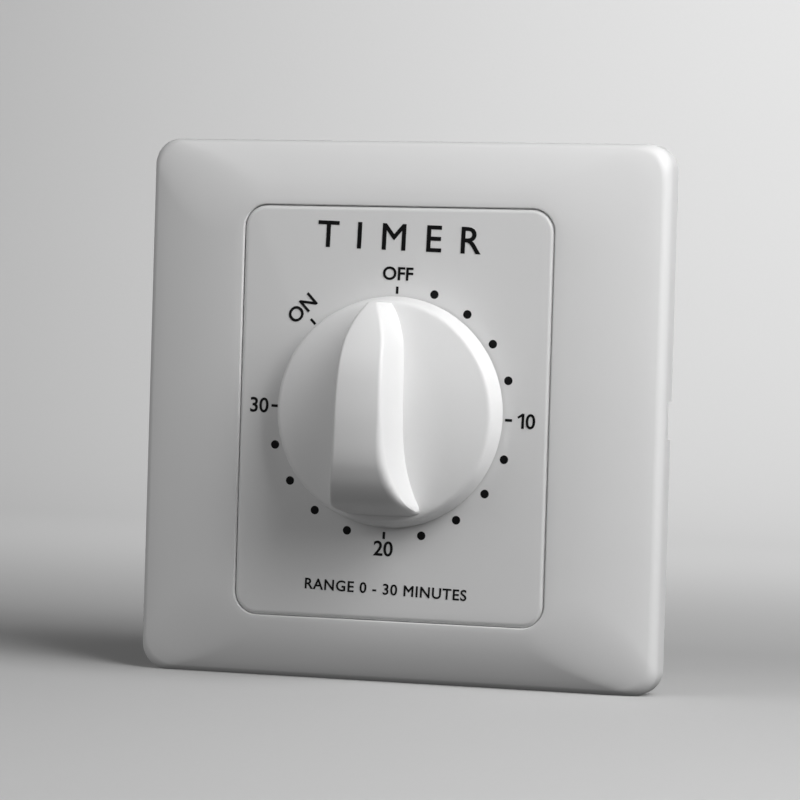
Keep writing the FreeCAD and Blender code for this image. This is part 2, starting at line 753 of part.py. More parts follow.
def make_knob():
    """A domed skirt on a hub, with a tall pointer across it that narrows towards the mark."""
    body = new_body("knob")
    profile = sketch_on(body, "knob_profile", None, role="XY_Plane")
    back, face = number("knob_back"), -number("face_height")
    rim, top, edge = number("knob_round"), number("knob_face_round"), number("knob_edge")
    wall, hub = number("knob_wall"), number("knob_hub")
    side, dome = face - number("knob_side"), face - number("knob_dome")
    crown = Vector(top - edge, side - edge, 0)
    outline = [
        Vector(0, dome, 0),
        Vector(0, back, 0),
        Vector(hub, back, 0),
        Vector(hub, dome + 1.6 * wall, 0),
        Vector(rim - 1.6 * wall, side + wall / 2, 0),
        Vector(rim - wall, back, 0),
        Vector(rim, back, 0),
        Vector(top, side, 0),
    ]
    for first, last in zip(outline, outline[1:]):
        profile.addGeometry(Part.LineSegment(first, last), False)
    bend = Vector(top - 0.3 * edge, side - 0.71 * edge, 0)
    profile.addGeometry(Part.Arc(outline[-1], bend, crown), False)
    shoulder = Vector(top / 2, dome - (dome - side + edge) * 0.25, 0)
    profile.addGeometry(Part.Arc(crown, shoulder, outline[0]), False)
    skirt = body.newObject("PartDesign::Revolution", "knob_skirt")
    skirt.Profile = profile
    skirt.ReferenceAxis = (profile, ["V_Axis"])
    skirt.Angle = 360
    profile.Visibility = False
    foot = knob_plan(body, "knob_pointer_foot", "-face_height - knob_side", number("blade_draft"))
    head = knob_plan(body, "knob_pointer_head", "-face_height - blade_height - 0.5", 0)
    loft(body, "knob_pointer", [foot, head])
    crest = sketch_on(body, "knob_crest", None, role="YZ_Plane")
    tip, tail = number("blade_tip"), number("blade_tail + tail_bulge")
    height = number("blade_height")
    ridge = (
        (1.07 * tip, 0.56),
        (tip, 0.64),
        (0.90 * tip, 0.733),
        (0.78 * tip, 0.81),
        (0.64 * tip, 0.88),
        (0.48 * tip, 0.942),
        (0.29 * tip, 0.98),
        (0.0, 1.0),
        (-0.30 * tail, 0.985),
        (-0.48 * tail, 0.95),
        (-0.60 * tail, 0.90),
        (-0.70 * tail, 0.835),
        (-0.80 * tail, 0.735),
        (-0.88 * tail, 0.62),
        (-0.94 * tail, 0.50),
        (-tail, 0.34),
        (-1.04 * tail, 0.21),
    )
    points = [Vector(face - height * share, z, 0) for z, share in ridge]
    curve = Part.BSplineCurve()
    curve.interpolate(points)
    crest.addGeometry(curve, False)
    far = face - 2 * height
    corners = [points[-1], Vector(far, points[-1].y, 0), Vector(far, points[0].y, 0), points[0]]
    for first, last in zip(corners, corners[1:]):
        crest.addGeometry(Part.LineSegment(first, last), False)
    trim = body.newObject("PartDesign::Pocket", "knob_crest_trim")
    trim.Profile = crest
    trim.Midplane = True
    bind(trim, {"Length": "4 * blade_waist + 4"})
    crest.Visibility = False
    round_edges(body, "knob_crest_edges", "blade_crest_round", runs_along_crest)
    bore = sketch_on(body, "knob_bore", "arbor_front - 0.3")
    disc(bore, AXIS, "arbor_bore")
    pocket(body, "knob_bore_cut", bore, "arbor_in_knob + 1")
    seat = sketch_on(body, "knob_clip_seat", "arbor_front + 1.5 - fit_gap")
    seat_centre = ("0", "arbor_flat + clip_height / 2")
    rectangle(seat, seat_centre, "clip_width + 2 * fit_gap", "clip_height + 4 * fit_gap")
    pocket(body, "knob_clip_cut", seat, "arbor_in_knob")


# The box behind the wall and its back


def make_rear_housing():
    """An open-ended box behind the window, with a flange, screw bosses and two wire notches."""
    body = new_body("rear_housing")
    walls = sketch_on(body, "housing_walls", "housing_front")
    rounded_rectangle(walls, "housing_width", "housing_height", "housing_corner")
    pad(body, "housing_wall_pad", walls, "housing_depth - housing_front")
    flange = sketch_on(body, "housing_flange", "housing_front")
    rectangle(flange, ("0", "0"), "flange_width", "housing_height + 2 * flange_reach")
    pad(body, "housing_flange_pad", flange, "flange_thick")
    inner = sketch_on(body, "housing_inner", "housing_front - 1")
    rounded_rectangle(inner, "inner_width", "inner_height", "housing_corner - housing_wall / 2")
    pocket(body, "housing_inner_pocket", inner, "housing_depth - housing_front + 2")
    bosses = sketch_on(body, "housing_bosses", "front_plate_back")
    for place in movement_screw_places():
        disc(bosses, place, "housing_boss")
    pad(body, "housing_boss_pad", bosses, "housing_boss_length")
    corners = sketch_on(body, "housing_back_bosses", "housing_depth - back_boss_length")
    for place in corner_places("back_boss_x", "back_boss_z"):
        disc(corners, place, "back_boss")
    pad(body, "housing_back_boss_pad", corners, "back_boss_length")
    threads = sketch_on(body, "housing_threads", "front_plate_back - 1")
    for place in movement_screw_places():
        disc(threads, place, "screw_round + fit_gap")
    pocket(body, "housing_thread_pocket", threads, "housing_boss_length")
    back_threads = sketch_on(body, "housing_back_threads", "housing_depth + 1")
    for place in corner_places("back_boss_x", "back_boss_z"):
        disc(back_threads, place, "screw_round + fit_gap")
    pocket(body, "housing_back_thread_pocket", back_threads, "back_boss_length", back=False)
    holes = sketch_on(body, "housing_flange_holes", "housing_front - 1")
    for place in corner_places("flange_screw_offset", "flange_screw_z"):
        disc(holes, place, "screw_round + fit_gap")
    pocket(body, "housing_flange_hole_pocket", holes, "flange_thick + 2")
    notches = sketch_on(body, "housing_wire_notches", "housing_depth - wire_notch_depth")
    for side in (-1, 1):
        place = (f"{side} * pocket_offset", "housing_height / 2 - housing_wall / 2")
        rectangle(notches, place, "wire_notch_width", "housing_wall * 2")
    pocket(body, "housing_wire_notch_pocket", notches, "wire_notch_depth + 1")


def movement_screw_places():
    """Where the three screws hold the movement's front plate to the housing's bosses."""
    return (
        ("-side_boss_x", "side_boss_level"),
        ("side_boss_x", "side_boss_level"),
        ("foot_boss_offset", "foot_boss_z"),
    )


def corner_places(x, z):
    """Four places, one in each corner."""
    return [(f"{side} * {x}", f"{end} * {z}") for side in (-1, 1) for end in (-1, 1)]


def make_contact_base():
    """The back of the housing: a plate with a block inside that holds the two terminals."""
    body = new_body("contact_base")
    plate = sketch_on(body, "base_plate", "housing_depth")
    rounded_rectangle(plate, "housing_width", "housing_height", "housing_corner")
    pad(body, "base_plate_pad", plate, "base_thick")
    block = sketch_on(body, "base_block", "block_front")
    top = "inner_height / 2 - clear_gap"
    middle = f"(block_foot + {top}) / 2"
    rectangle(block, ("0", middle), "block_width", f"{top} - block_foot")
    pad(body, "base_block_pad", block, "block_depth + base_thick / 2")
    pockets = sketch_on(body, "base_pockets", "back_face + 1")
    for side in (-1, 1):
        place = (f"{side} * pocket_offset", "pocket_foot + pocket_height / 2")
        rectangle(pockets, place, "pocket_width", "pocket_height")
    pocket(body, "base_pocket_cut", pockets, "back_face + 1 - pocket_bottom", back=False)
    notches = sketch_on(body, "base_wire_notches", "housing_depth - wire_notch_depth")
    for side in (-1, 1):
        place = (f"{side} * pocket_offset", "pocket_foot + pocket_height")
        height = "2 * (inner_height / 2 - pocket_foot - pocket_height)"
        rectangle(notches, place, "wire_notch_width", height)
    pocket(body, "base_wire_notch_cut", notches, "wire_notch_depth")
    slots = sketch_on(body, "base_strip_slots", "block_front - 1")
    for side in (-1, 1):
        place = (f"{side} * pocket_offset", "(block_foot - 1 + slot_top) / 2")
        rectangle(slots, place, "strip_width + clear_gap", "slot_top - block_foot + 1")
    pocket(body, "base_strip_slot_cut", slots, "strip_back + clear_gap - block_front + 1")
    threads = sketch_on(body, "base_threads", "block_front - 1")
    for side in (-1, 1):
        disc(threads, (f"{side} * pocket_offset", "terminal_level"), "terminal_screw_round + fit_gap")
    pocket(body, "base_thread_cut", threads, "pocket_floor + 2")
    holes = sketch_on(body, "base_screw_holes", "housing_depth - 1")
    for place in corner_places("back_boss_x", "back_boss_z"):
        disc(holes, place, "screw_round + fit_gap")
    pocket(body, "base_screw_hole_cut", holes, "base_thick + 2")


# Screws


def screw(name, place, seat, length, to_back=False, radius="screw_round"):
    """A pan screw: its head stands on the seat, to the back or to the front."""
    head, thick = ("screw_head_round", "screw_head_thick")
    if radius == "terminal_screw_round":
        head, thick = ("terminal_head_round", "terminal_head_thick")
    start = f"{seat} - ({length})" if to_back else seat
    head_start = seat if to_back else f"{seat} - {thick}"
    shank = rod(name + "_shank", place, start, length, radius)
    cap = rod(name + "_head", place, head_start, thick, head)
    blank = fuse(name + "_blank", shank, cap)
    slot_start = f"{seat} + {thick} - driver_depth" if to_back else f"{head_start} - driver_depth"
    slot = centred_box(name + "_slot", place, slot_start, (f"3 * {head}", "2 * driver_depth", "driver_slot"))
    return cut(name, blank, slot)


def make_screws():
    """Every set of screws, each set one node."""
    flange = corner_places("flange_screw_offset", "flange_screw_z")
    pillars = corner_places("pillar_offset_x", "pillar_offset_z")
    backs = corner_places("back_boss_x", "back_boss_z")
    panel = [("-panel_screw_offset", "0"), ("panel_screw_offset", "0")]
    panel_length = "front_plate_back + screw_round / 5 - panel_seat"
    sets = (
        ("housing_screws", flange, "housing_front", "flange_screw_length", False),
        ("panel_screws", panel, "panel_seat", panel_length, False),
        ("movement_screws", movement_screw_places(), "-front_plate_level", "movement_screw_length", False),
        ("pillar_screws", pillars, "rear_plate_back", "pillar_screw_length", True),
        ("back_cover_screws", backs, "back_face", "back_screw_length", True),
    )
    for label, places, seat, length, to_back in sets:
        parts = [screw(f"{label}_{i}", place, seat, length, to_back) for i, place in enumerate(places)]
        group(label, parts)


# The movement's plates


def arbor_places():
    """Where the train's arbors turn."""
    return [(f"{name}_x", f"{name}_z") for name in ("intermediate", "third", "escape", "pallet")]


def make_movement_plate(label, level, front):
    """A flat plate with a hole for each arbor, the bush and its fasteners."""
    body = new_body(label)
    blank = sketch_on(body, label + "_blank", level)
    rounded_rectangle(blank, "movement_width", "movement_height", "movement_corner")
    pad(body, label + "_pad", blank, "movement_thick")
    holes = sketch_on(body, label + "_holes", f"{level} - 1")
    disc(holes, ("0", "0"), "bush_round + fit_gap")
    disc(holes, ("0", "spring_post_orbit"), "spring_post_round + fit_gap")
    for place in arbor_places():
        radius = "stout_pivot_round" if place[0].startswith("intermediate") else "pivot_round"
        disc(holes, place, f"{radius} + running_gap")
    pillar_hole = "pillar_tenon_round + fit_gap" if front else "screw_round + fit_gap"
    for place in corner_places("pillar_offset_x", "pillar_offset_z"):
        disc(holes, place, pillar_hole)
    if front:
        for place in movement_screw_places():
            disc(holes, place, "screw_round + fit_gap")
        for side in (-1, 1):
            disc(holes, (f"{side} * panel_screw_offset", "0"), "screw_round + fit_gap")
    else:
        disc(holes, ("0", "-stop_pin_orbit"), "stop_pin_round + fit_gap")
    pocket(body, label + "_hole_cut", holes, "movement_thick + 2")


def make_pillars():
    """Four pillars riveted in the front plate and tapped at the back, and the spring's post."""
    pillars = []
    for i, place in enumerate(corner_places("pillar_offset_x", "pillar_offset_z")):
        tenon_length = "movement_thick + 1"
        tenon = rod(f"pillar_tenon_{i}", place, "-front_plate_level", tenon_length, "pillar_tenon_round")
        post = rod(f"pillar_body_{i}", place, "front_plate_back", "movement_spacing", "pillar_round")
        whole = fuse(f"pillar_whole_{i}", tenon, post)
        bore = rod(f"pillar_thread_{i}", place, "rear_plate_front - 4.5", "6", "screw_round + fit_gap")
        pillars.append(cut(f"pillar_{i}", whole, bore))
    group("plate_pillars", pillars)
    span = "front_plate_level + rear_plate_back"
    place = ("0", "spring_post_orbit")
    node("spring_post", rod("spring_post", place, "-front_plate_level", span, "spring_post_round"))
    reach = "stop_level + stop_thick - rear_plate_front + 0.3"
    place = ("0", "-stop_pin_orbit")
    node("stop_pin", rod("stop_pin", place, "rear_plate_front", reach, "stop_pin_round"))


# The main arbor and what turns with it


def flanged_bush(label, flange_level, body_level, body_length):
    """A brass bush pressed into a plate, its flange against the plate."""
    flange = rod(label + "_flange", AXIS, flange_level, "bush_flange_thick", "bush_round + bush_flange")
    sleeve = rod(label + "_sleeve", AXIS, body_level, body_length, "bush_round")
    whole = fuse(label + "_whole", flange, sleeve)
    bore = rod(label + "_bore", AXIS, f"{flange_level} - 8", "20", "bush_bore")
    return node(label, cut(label, whole, bore))


def make_main_arbor():
    """The arbor from the knob to the cam, with a flat for the knob and a groove for its ring."""
    shaft = rod("arbor_shaft", AXIS, "arbor_front", "arbor_tail - arbor_front", "arbor_round")
    flat = centred_box(
        "arbor_flat_cut",
        ("0", "arbor_flat + arbor_round / 2"),
        "arbor_front - 1",
        ("3 * arbor_round", "arbor_in_knob + 0.6", "arbor_round"),
    )
    groove = tube("arbor_groove", AXIS, "ring_front - fit_gap", "ring_thick + 2 * fit_gap",
                  "arbor_round + 1", "arbor_round - ring_groove")
    node("main_arbor", cut("main_arbor", shaft, flat, groove))
    flanged_bush("front_arbor_bush", "-front_plate_level - bush_flange_thick", "-front_plate_level - 0.5",
                 "movement_thick + bush_tail + 0.5")
    flanged_bush("rear_arbor_bush", "bush_rear_front", "rear_plate_front - 0.5",
                 "movement_thick + bush_tail + 0.5")
    node("spring_collar", tube("spring_collar", AXIS, "spring_start", "spring_width",
                               "arbor_round + collar_wall", "arbor_bore"))
    spigot = rod("hub_spigot", AXIS, "great_level", "great_thick + 0.5", "arbor_round + spigot_wall")
    flange = rod("hub_flange", AXIS, "great_back", "hub_length", "arbor_round + hub_wall")
    bore = rod("hub_bore", AXIS, "great_level - 1", "hub_length + great_thick + 2", "arbor_bore")
    node("great_wheel_hub", cut("great_wheel_hub", fuse("hub_whole", spigot, flange), bore))
    node("arbor_spacer", tube("arbor_spacer", AXIS, "hub_back", "spacer_back - hub_back",
                              "arbor_round + spacer_wall", "arbor_bore"))
    ring = tube("ring_whole", AXIS, "ring_front", "ring_thick", "arbor_round + ring_wall",
                "arbor_round - ring_groove + fit_gap")
    mouth = centred_box("ring_mouth", ("0", "-arbor_round - ring_wall / 2"), "ring_front - 1",
                        ("1.5 * arbor_round", "ring_thick + 2", "arbor_round + 2 * ring_wall"))
    node("arbor_retaining_ring", cut("arbor_retaining_ring", ring, mouth))


def bar(name, centre, bearing, level, thick, half_width, reach):
    """A flat bar that leaves a centre at a bearing, counted from X towards Z."""
    thing = doc.addObject("Part::Box", name)
    thing.Placement = Placement(Vector(), Rotation(Vector(0, -1, 0), 1))
    bind(thing, {"Length": reach, "Width": thick, "Height": f"2 * ({half_width})"})
    bind(thing, {
        "Placement.Rotation.Angle": bearing,
        "Placement.Base.x": f"{centre[0]} + ({half_width}) * sin({bearing})",
        "Placement.Base.y": level,
        "Placement.Base.z": f"{centre[1]} - ({half_width}) * cos({bearing})",
    })
    return thing


def vee(name, bearing, apex):
    """A square bar across the cam, one corner turned inwards, which cuts a V notch at a bearing."""
    side = "cam_round"
    thing = doc.addObject("Part::Box", name)
    thing.Placement = Placement(Vector(), Rotation(Vector(0, -1, 0), 1))
    bind(thing, {"Length": side, "Width": "cam_thick + 2", "Height": side})
    bind(thing, {
        "Placement.Rotation.Angle": f"{bearing} - 45",
        "Placement.Base.x": f"({apex}) * cos({bearing})",
        "Placement.Base.y": "cam_level - 1",
        "Placement.Base.z": f"({apex}) * sin({bearing})",
    })
    return thing


def make_cam():
    """The switch cam, notched where the contacts are open, and the disc whose finger stops the turn."""
    disc_blank = rod("cam_blank", AXIS, "cam_level", "cam_thick", "cam_round")
    bore = rod("cam_bore", AXIS, "cam_level - 1", "cam_thick + 2", "arbor_bore")
    off = vee("cam_off_notch", "90", "cam_round - cam_notch")
    held_on = vee("cam_on_notch", "90 - turn_back", "cam_round - cam_detent")
    node("switch_cam", cut("switch_cam", disc_blank, bore, off, held_on))
    hub = rod("stop_hub_disc", AXIS, "stop_level", "stop_thick", "stop_hub")
    half = "stop_pin_orbit * sin((360 - turn_on - turn_back) / 2) - stop_pin_round - stop_touch"
    bearing = "270 - turn_back - (360 - turn_on - turn_back) / 2"
    reach = "stop_pin_orbit + stop_pin_round - 0.1"
    finger = bar("stop_finger", AXIS, bearing, "stop_level", "stop_thick", half, reach)
    centre = rod("stop_bore", AXIS, "stop_level - 1", "stop_thick + 2", "arbor_bore")
    node("stop_disc", cut("stop_disc", fuse("stop_whole", hub, finger), centre))


# Solids drawn from formulas


def solid_feature(label, shape, centre=AXIS, level="0"):
    """A sub-part whose outline comes from a formula, placed at a centre and a level."""
    feature = doc.addObject("Part::Feature", label)
    feature.Shape = shape
    bind(feature, {"Placement.Base.x": centre[0], "Placement.Base.y": level, "Placement.Base.z": centre[1]})
    return feature


def slab(edges, thick):
    """A flat solid: a closed outline in the XZ plane, thickened towards the back."""
    return Part.Face(Part.Wire(edges)).extrude(Vector(0, thick, 0))


def closed(points):
    """The straight edges round a closed outline."""
    return [Part.LineSegment(a, b).toShape() for a, b in zip(points, points[1:] + points[:1])]


def polar(radius, degrees):
    """A point in the XZ plane."""
    return Vector(radius * math.cos(math.radians(degrees)), 0, radius * math.sin(math.radians(degrees)))


def make_mainspring():
    """A flat coil round the collar, its outer end turned round the post."""
    thick = number("spring_thick")
    inner = number("arbor_round + collar_wall + 2 * running_gap + spring_thick / 2")
    outer, turns = number("spring_outer"), number("spring_turns")
    post = number("spring_post_orbit")
    wrap = number("spring_post_round + 2 * running_gap + spring_thick / 2")
    steps = int(16 * turns)
    path = []
    for i in range(steps + 1):
        path.append(polar(inner + (outer - inner) * i / steps, 35 + 360 * turns * (i / steps - 1)))
    lead = number("spring_post_round")
    path.append(Vector(wrap + lead, 0, post - 2 * lead))
    for i in range(7):
        path.append(Vector(0, 0, post) + polar(wrap, 35 * i))
    sides = ([], [])
    for i, point in enumerate(path):
        along = path[min(i + 1, len(path) - 1)] - path[max(i - 1, 0)]
        across = Vector(-along.z, 0, along.x).normalize() * (thick / 2)
        sides[0].append(point + across)
        sides[1].append(point - across)
    curves = []
    for points in (sides[0], sides[1][::-1]):
        curve = Part.BSplineCurve()
        curve.interpolate(points)
        curves.append(curve.toShape())
    ends = [(sides[0][-1], sides[1][-1]), (sides[1][0], sides[0][0])]
    caps = [Part.LineSegment(a, b).toShape() for a, b in ends]
    ribbon = slab([curves[0], caps[0], curves[1], caps[1]], number("spring_width"))
    node("mainspring", solid_feature("mainspring", ribbon, level="spring_start"))


def tooth_outline(teeth, module, phase, leaf=False):
    """The closed outline of a wheel, or of a pinion with thinner, lower leaves."""
    pitch_round = module * teeth / 2
    share = (0.56, 0.37, 0.14) if leaf else (0.54, 0.42, 0.16)
    lift, drop = (0.65, 1.1) if leaf else (0.85, 0.95)
    rounds = (pitch_round - drop * module, pitch_round, pitch_round + lift * module)
    points = []
    for i in range(teeth):
        middle = phase + 360 * i / teeth
        half = [180 / teeth * part for part in share]
        points += [polar(r, middle - a) for r, a in zip(rounds, half)]
        points += [polar(r, middle + a) for r, a in zip(rounds[::-1], half[::-1])]
    return points


def toothed(label, centre, phase, teeth, module, level, thick, bore, holes=0):
    """A toothed wheel with its bore and any lightening holes."""
    outline = tooth_outline(int(number(teeth)), number(module), number(phase))
    blank = solid_feature(label + "_blank", slab(closed(outline), number(thick)), centre, level)
    tools = [rod(label + "_bore", centre, f"{level} - 1", f"{thick} + 2", bore)]
    for i in range(holes):
        orbit = f"{module} * {teeth} * 0.3"
        bearing = 360 * i / holes + 45
        place = (f"{centre[0]} + {orbit} * cos({bearing})", f"{centre[1]} + {orbit} * sin({bearing})")
        tools.append(rod(f"{label}_hole_{i}", place, f"{level} - 1", f"{thick} + 2", "lightening_round"))
    return node(label, cut(label, blank, *tools))


def leaves(name, centre, phase, count, module, level):
    """The leaves of a pinion cut on an arbor."""
    outline = tooth_outline(int(number(count)), number(module), number(phase), leaf=True)
    return solid_feature(name, slab(closed(outline), number("pinion_length")), centre, level)


def plain_arbor(name, centre, radius, pivot):
    """An arbor between the plates with a pivot in each."""
    body_length = "movement_spacing - 2 * end_shake"
    middle = rod(name + "_body", centre, "front_plate_back + end_shake", body_length, radius)
    ends = rod(name + "_pivots", centre, "-front_plate_level", "front_plate_level + rear_plate_back", pivot)
    return [middle, ends]


def make_train():
    """The great wheel, the two arbors it drives, the escape wheel and the arbor that checks it."""
    second, third, escape, pallet = arbor_places()
    toothed("great_wheel", AXIS, "intermediate_bearing", "great_teeth", "great_module", "great_level",
            "great_thick", "arbor_round + spigot_wall + fit_gap", holes=4)
    stout = plain_arbor("intermediate", second, "arbor_stout", "stout_pivot_round")
    facing = "intermediate_bearing + 180 + 180 / intermediate_leaves"
    level = "great_level - (pinion_length - great_thick) / 2"
    stout.append(leaves("intermediate_ring", second, facing, "intermediate_leaves", "great_module", level))
    seat = "second_level - clutch_thick - running_gap"
    stout.append(rod("clutch_flange", second, seat, "clutch_thick", "clutch_round"))
    node("intermediate_arbor", fuse("intermediate_arbor", *stout))
    toothed("second_wheel", second, "third_bearing", "second_teeth", "second_module", "second_level",
            "second_thick", "arbor_stout + running_gap", holes=5)
    start = number("second_level + second_thick + running_gap")
    thick, rise = number("clutch_spring_thick"), number("clutch_spring_rise")
    wide, narrow = number("clutch_round - 0.1"), number("arbor_stout + fit_gap")
    section = [
        Vector(wide, start, 0),
        Vector(wide, start + thick, 0),
        Vector(narrow, start + thick + rise, 0),
        Vector(narrow, start + rise, 0),
    ]
    dish = Part.Face(Part.Wire(closed(section))).revolve(Vector(), Vector(0, 1, 0), 360)
    node("clutch_spring", solid_feature("clutch_spring", dish, second))
    level = "second_level + second_thick + running_gap + clutch_spring_thick + clutch_spring_rise"
    sizes = ("clutch_collar_length", "arbor_stout + clutch_collar_wall", "arbor_stout + fit_gap")
    node("clutch_collar", tube("clutch_collar", second, level, *sizes))
    thin = plain_arbor("third", third, "arbor_thin", "pivot_round")
    facing = "third_bearing + 180 + 180 / third_leaves"
    level = "second_level - (pinion_length - second_thick) / 2"
    thin.append(leaves("third_ring", third, facing, "third_leaves", "second_module", level))
    behind = ("third_level - seat_length", "seat_length", "arbor_thin + seat_wall")
    thin.append(rod("third_seat", third, *behind))
    node("third_arbor", fuse("third_arbor", *thin))
    toothed("third_wheel", third, "escape_bearing", "third_teeth", "third_module", "third_level",
            "third_thick", "arbor_thin + fit_gap", holes=5)
    last = plain_arbor("escape", escape, "arbor_thin", "pivot_round")
    facing = "escape_bearing + 180 + 180 / escape_leaves"
    level = "third_level - (pinion_length - third_thick) / 2"
    last.append(leaves("escape_ring", escape, facing, "escape_leaves", "third_module", level))
    level = "escape_level + escape_thick"
    last.append(rod("escape_seat", escape, level, "seat_length", "arbor_thin + seat_wall"))
    node("escape_arbor", fuse("escape_arbor", *last))
    make_escape_wheel(escape)
    make_pallet(pallet)


def make_escape_wheel(centre):
    """A wheel of pointed teeth, a gap facing each pallet pin."""
    teeth, tip = int(number("escape_teeth")), number("escape_round")
    step = 360 / teeth
    first = number("pallet_bearing") + step / 2
    points = []
    for i in range(teeth):
        middle = first + step * i
        points += [polar(0.82 * tip, middle - 0.24 * step), polar(tip, middle - 0.06 * step)]
        points += [polar(tip, middle + 0.06 * step), polar(0.82 * tip, middle + 0.24 * step)]
    wheel = slab(closed(points), number("escape_thick"))
    blank = solid_feature("escape_blank", wheel, centre, "escape_level")
    bore = rod("escape_bore", centre, "escape_level - 1", "escape_thick + 2", "arbor_thin + fit_gap")
    node("escape_wheel", cut("escape_wheel", blank, bore))


def make_pallet(centre):
    """The pallet arbor, its forked lever with two pins, and the balance bar with its weights."""
    node("pallet_arbor", fuse("pallet_arbor", *plain_arbor("pallet", centre, "arbor_thin", "pivot_round")))
    hub = rod("pallet_hub_disc", centre, "pallet_level", "pallet_thick", "pallet_hub")
    parts, pins = [hub], []
    for side in (-1, 1):
        bearing = f"pallet_bearing + 180 + {side} * pin_bearing"
        place = (f"{centre[0]} + pin_reach * cos({bearing})", f"{centre[1]} + pin_reach * sin({bearing})")
        name = f"pallet_arm_{side + 1}"
        parts.append(bar(name, centre, bearing, "pallet_level", "pallet_thick", "pallet_arm", "pin_reach"))
        parts.append(rod(name + "_end", place, "pallet_level", "pallet_thick", "pallet_arm"))
        length = "pallet_level - escape_level + 0.3"
        pins.append(rod(f"pallet_pin_{side + 1}", place, "escape_level - 0.3", length, "pallet_pin_round"))
    bore = rod("pallet_bore", centre, "pallet_level - 1", "pallet_thick + 2", "arbor_thin + fit_gap")
    node("pallet_lever", cut("pallet_lever", fuse("pallet_fork", *parts), bore))
    group("pallet_pins", pins)
    lengths = ("balance_width", "balance_thick", "balance_length")
    beam = centred_box("balance_beam", centre, "balance_level", lengths)
    hole = rod("balance_bore", centre, "balance_level - 1", "balance_thick + 2", "arbor_thin + fit_gap")
    node("balance_bar", cut("balance_bar", beam, hole))
    weights = []
    for end in (-1, 1):
        place = (centre[0], f"{centre[1]} + {end} * (balance_length / 2 - balance_weight_round)")
        weights.append(rod(f"balance_weight_{end + 1}", place, "balance_level + balance_thick",
                           "balance_weight_thick", "balance_weight_round"))
    group("balance_weights", weights)


# Contacts and terminals


def upright(name, x, y, low, length, radius):
    """A cylinder along Z."""
    thing = doc.addObject("Part::Cylinder", name)
    bind(thing, {"Radius": radius, "Height": length})
    bind(thing, {"Placement.Base.x": x, "Placement.Base.y": y, "Placement.Base.z": low})
    return thing


def make_terminal(label, side, tab_foot, rivet_y):
    """A bent brass strip: a pad in its pocket, a leg down the slot and a tab for the leaf."""
    x = f"{side} * pocket_offset"
    pad_foot = "pocket_foot + clear_gap / 2"
    plate = centred_box(label + "_pad", (x, f"{pad_foot} + terminal_pad / 2"), "pocket_bottom",
                        ("pocket_width - 2 * clear_gap", "strip_thick", "terminal_pad"))
    leg_height = f"{pad_foot} + 1 - ({tab_foot})"
    leg = box(label + "_leg", (f"{x} - strip_width / 2", "pocket_bottom", tab_foot),
              ("strip_width", "strip_thick", leg_height))
    tab = box(label + "_tab", (f"{x} - strip_width / 2", "leaf_front", tab_foot),
              ("strip_width", "strip_back - leaf_front", "strip_thick"))
    whole = fuse(label + "_whole", plate, leg, tab)
    hole = rod(label + "_hole", (x, "terminal_level"), "pocket_bottom - 1", "strip_thick + 2",
               "terminal_screw_round + fit_gap")
    eye = upright(label + "_eye", x, rivet_y, f"{tab_foot} - 1", "strip_thick + 2", "rivet_round + fit_gap")
    node(label, cut(label, whole, hole, eye))


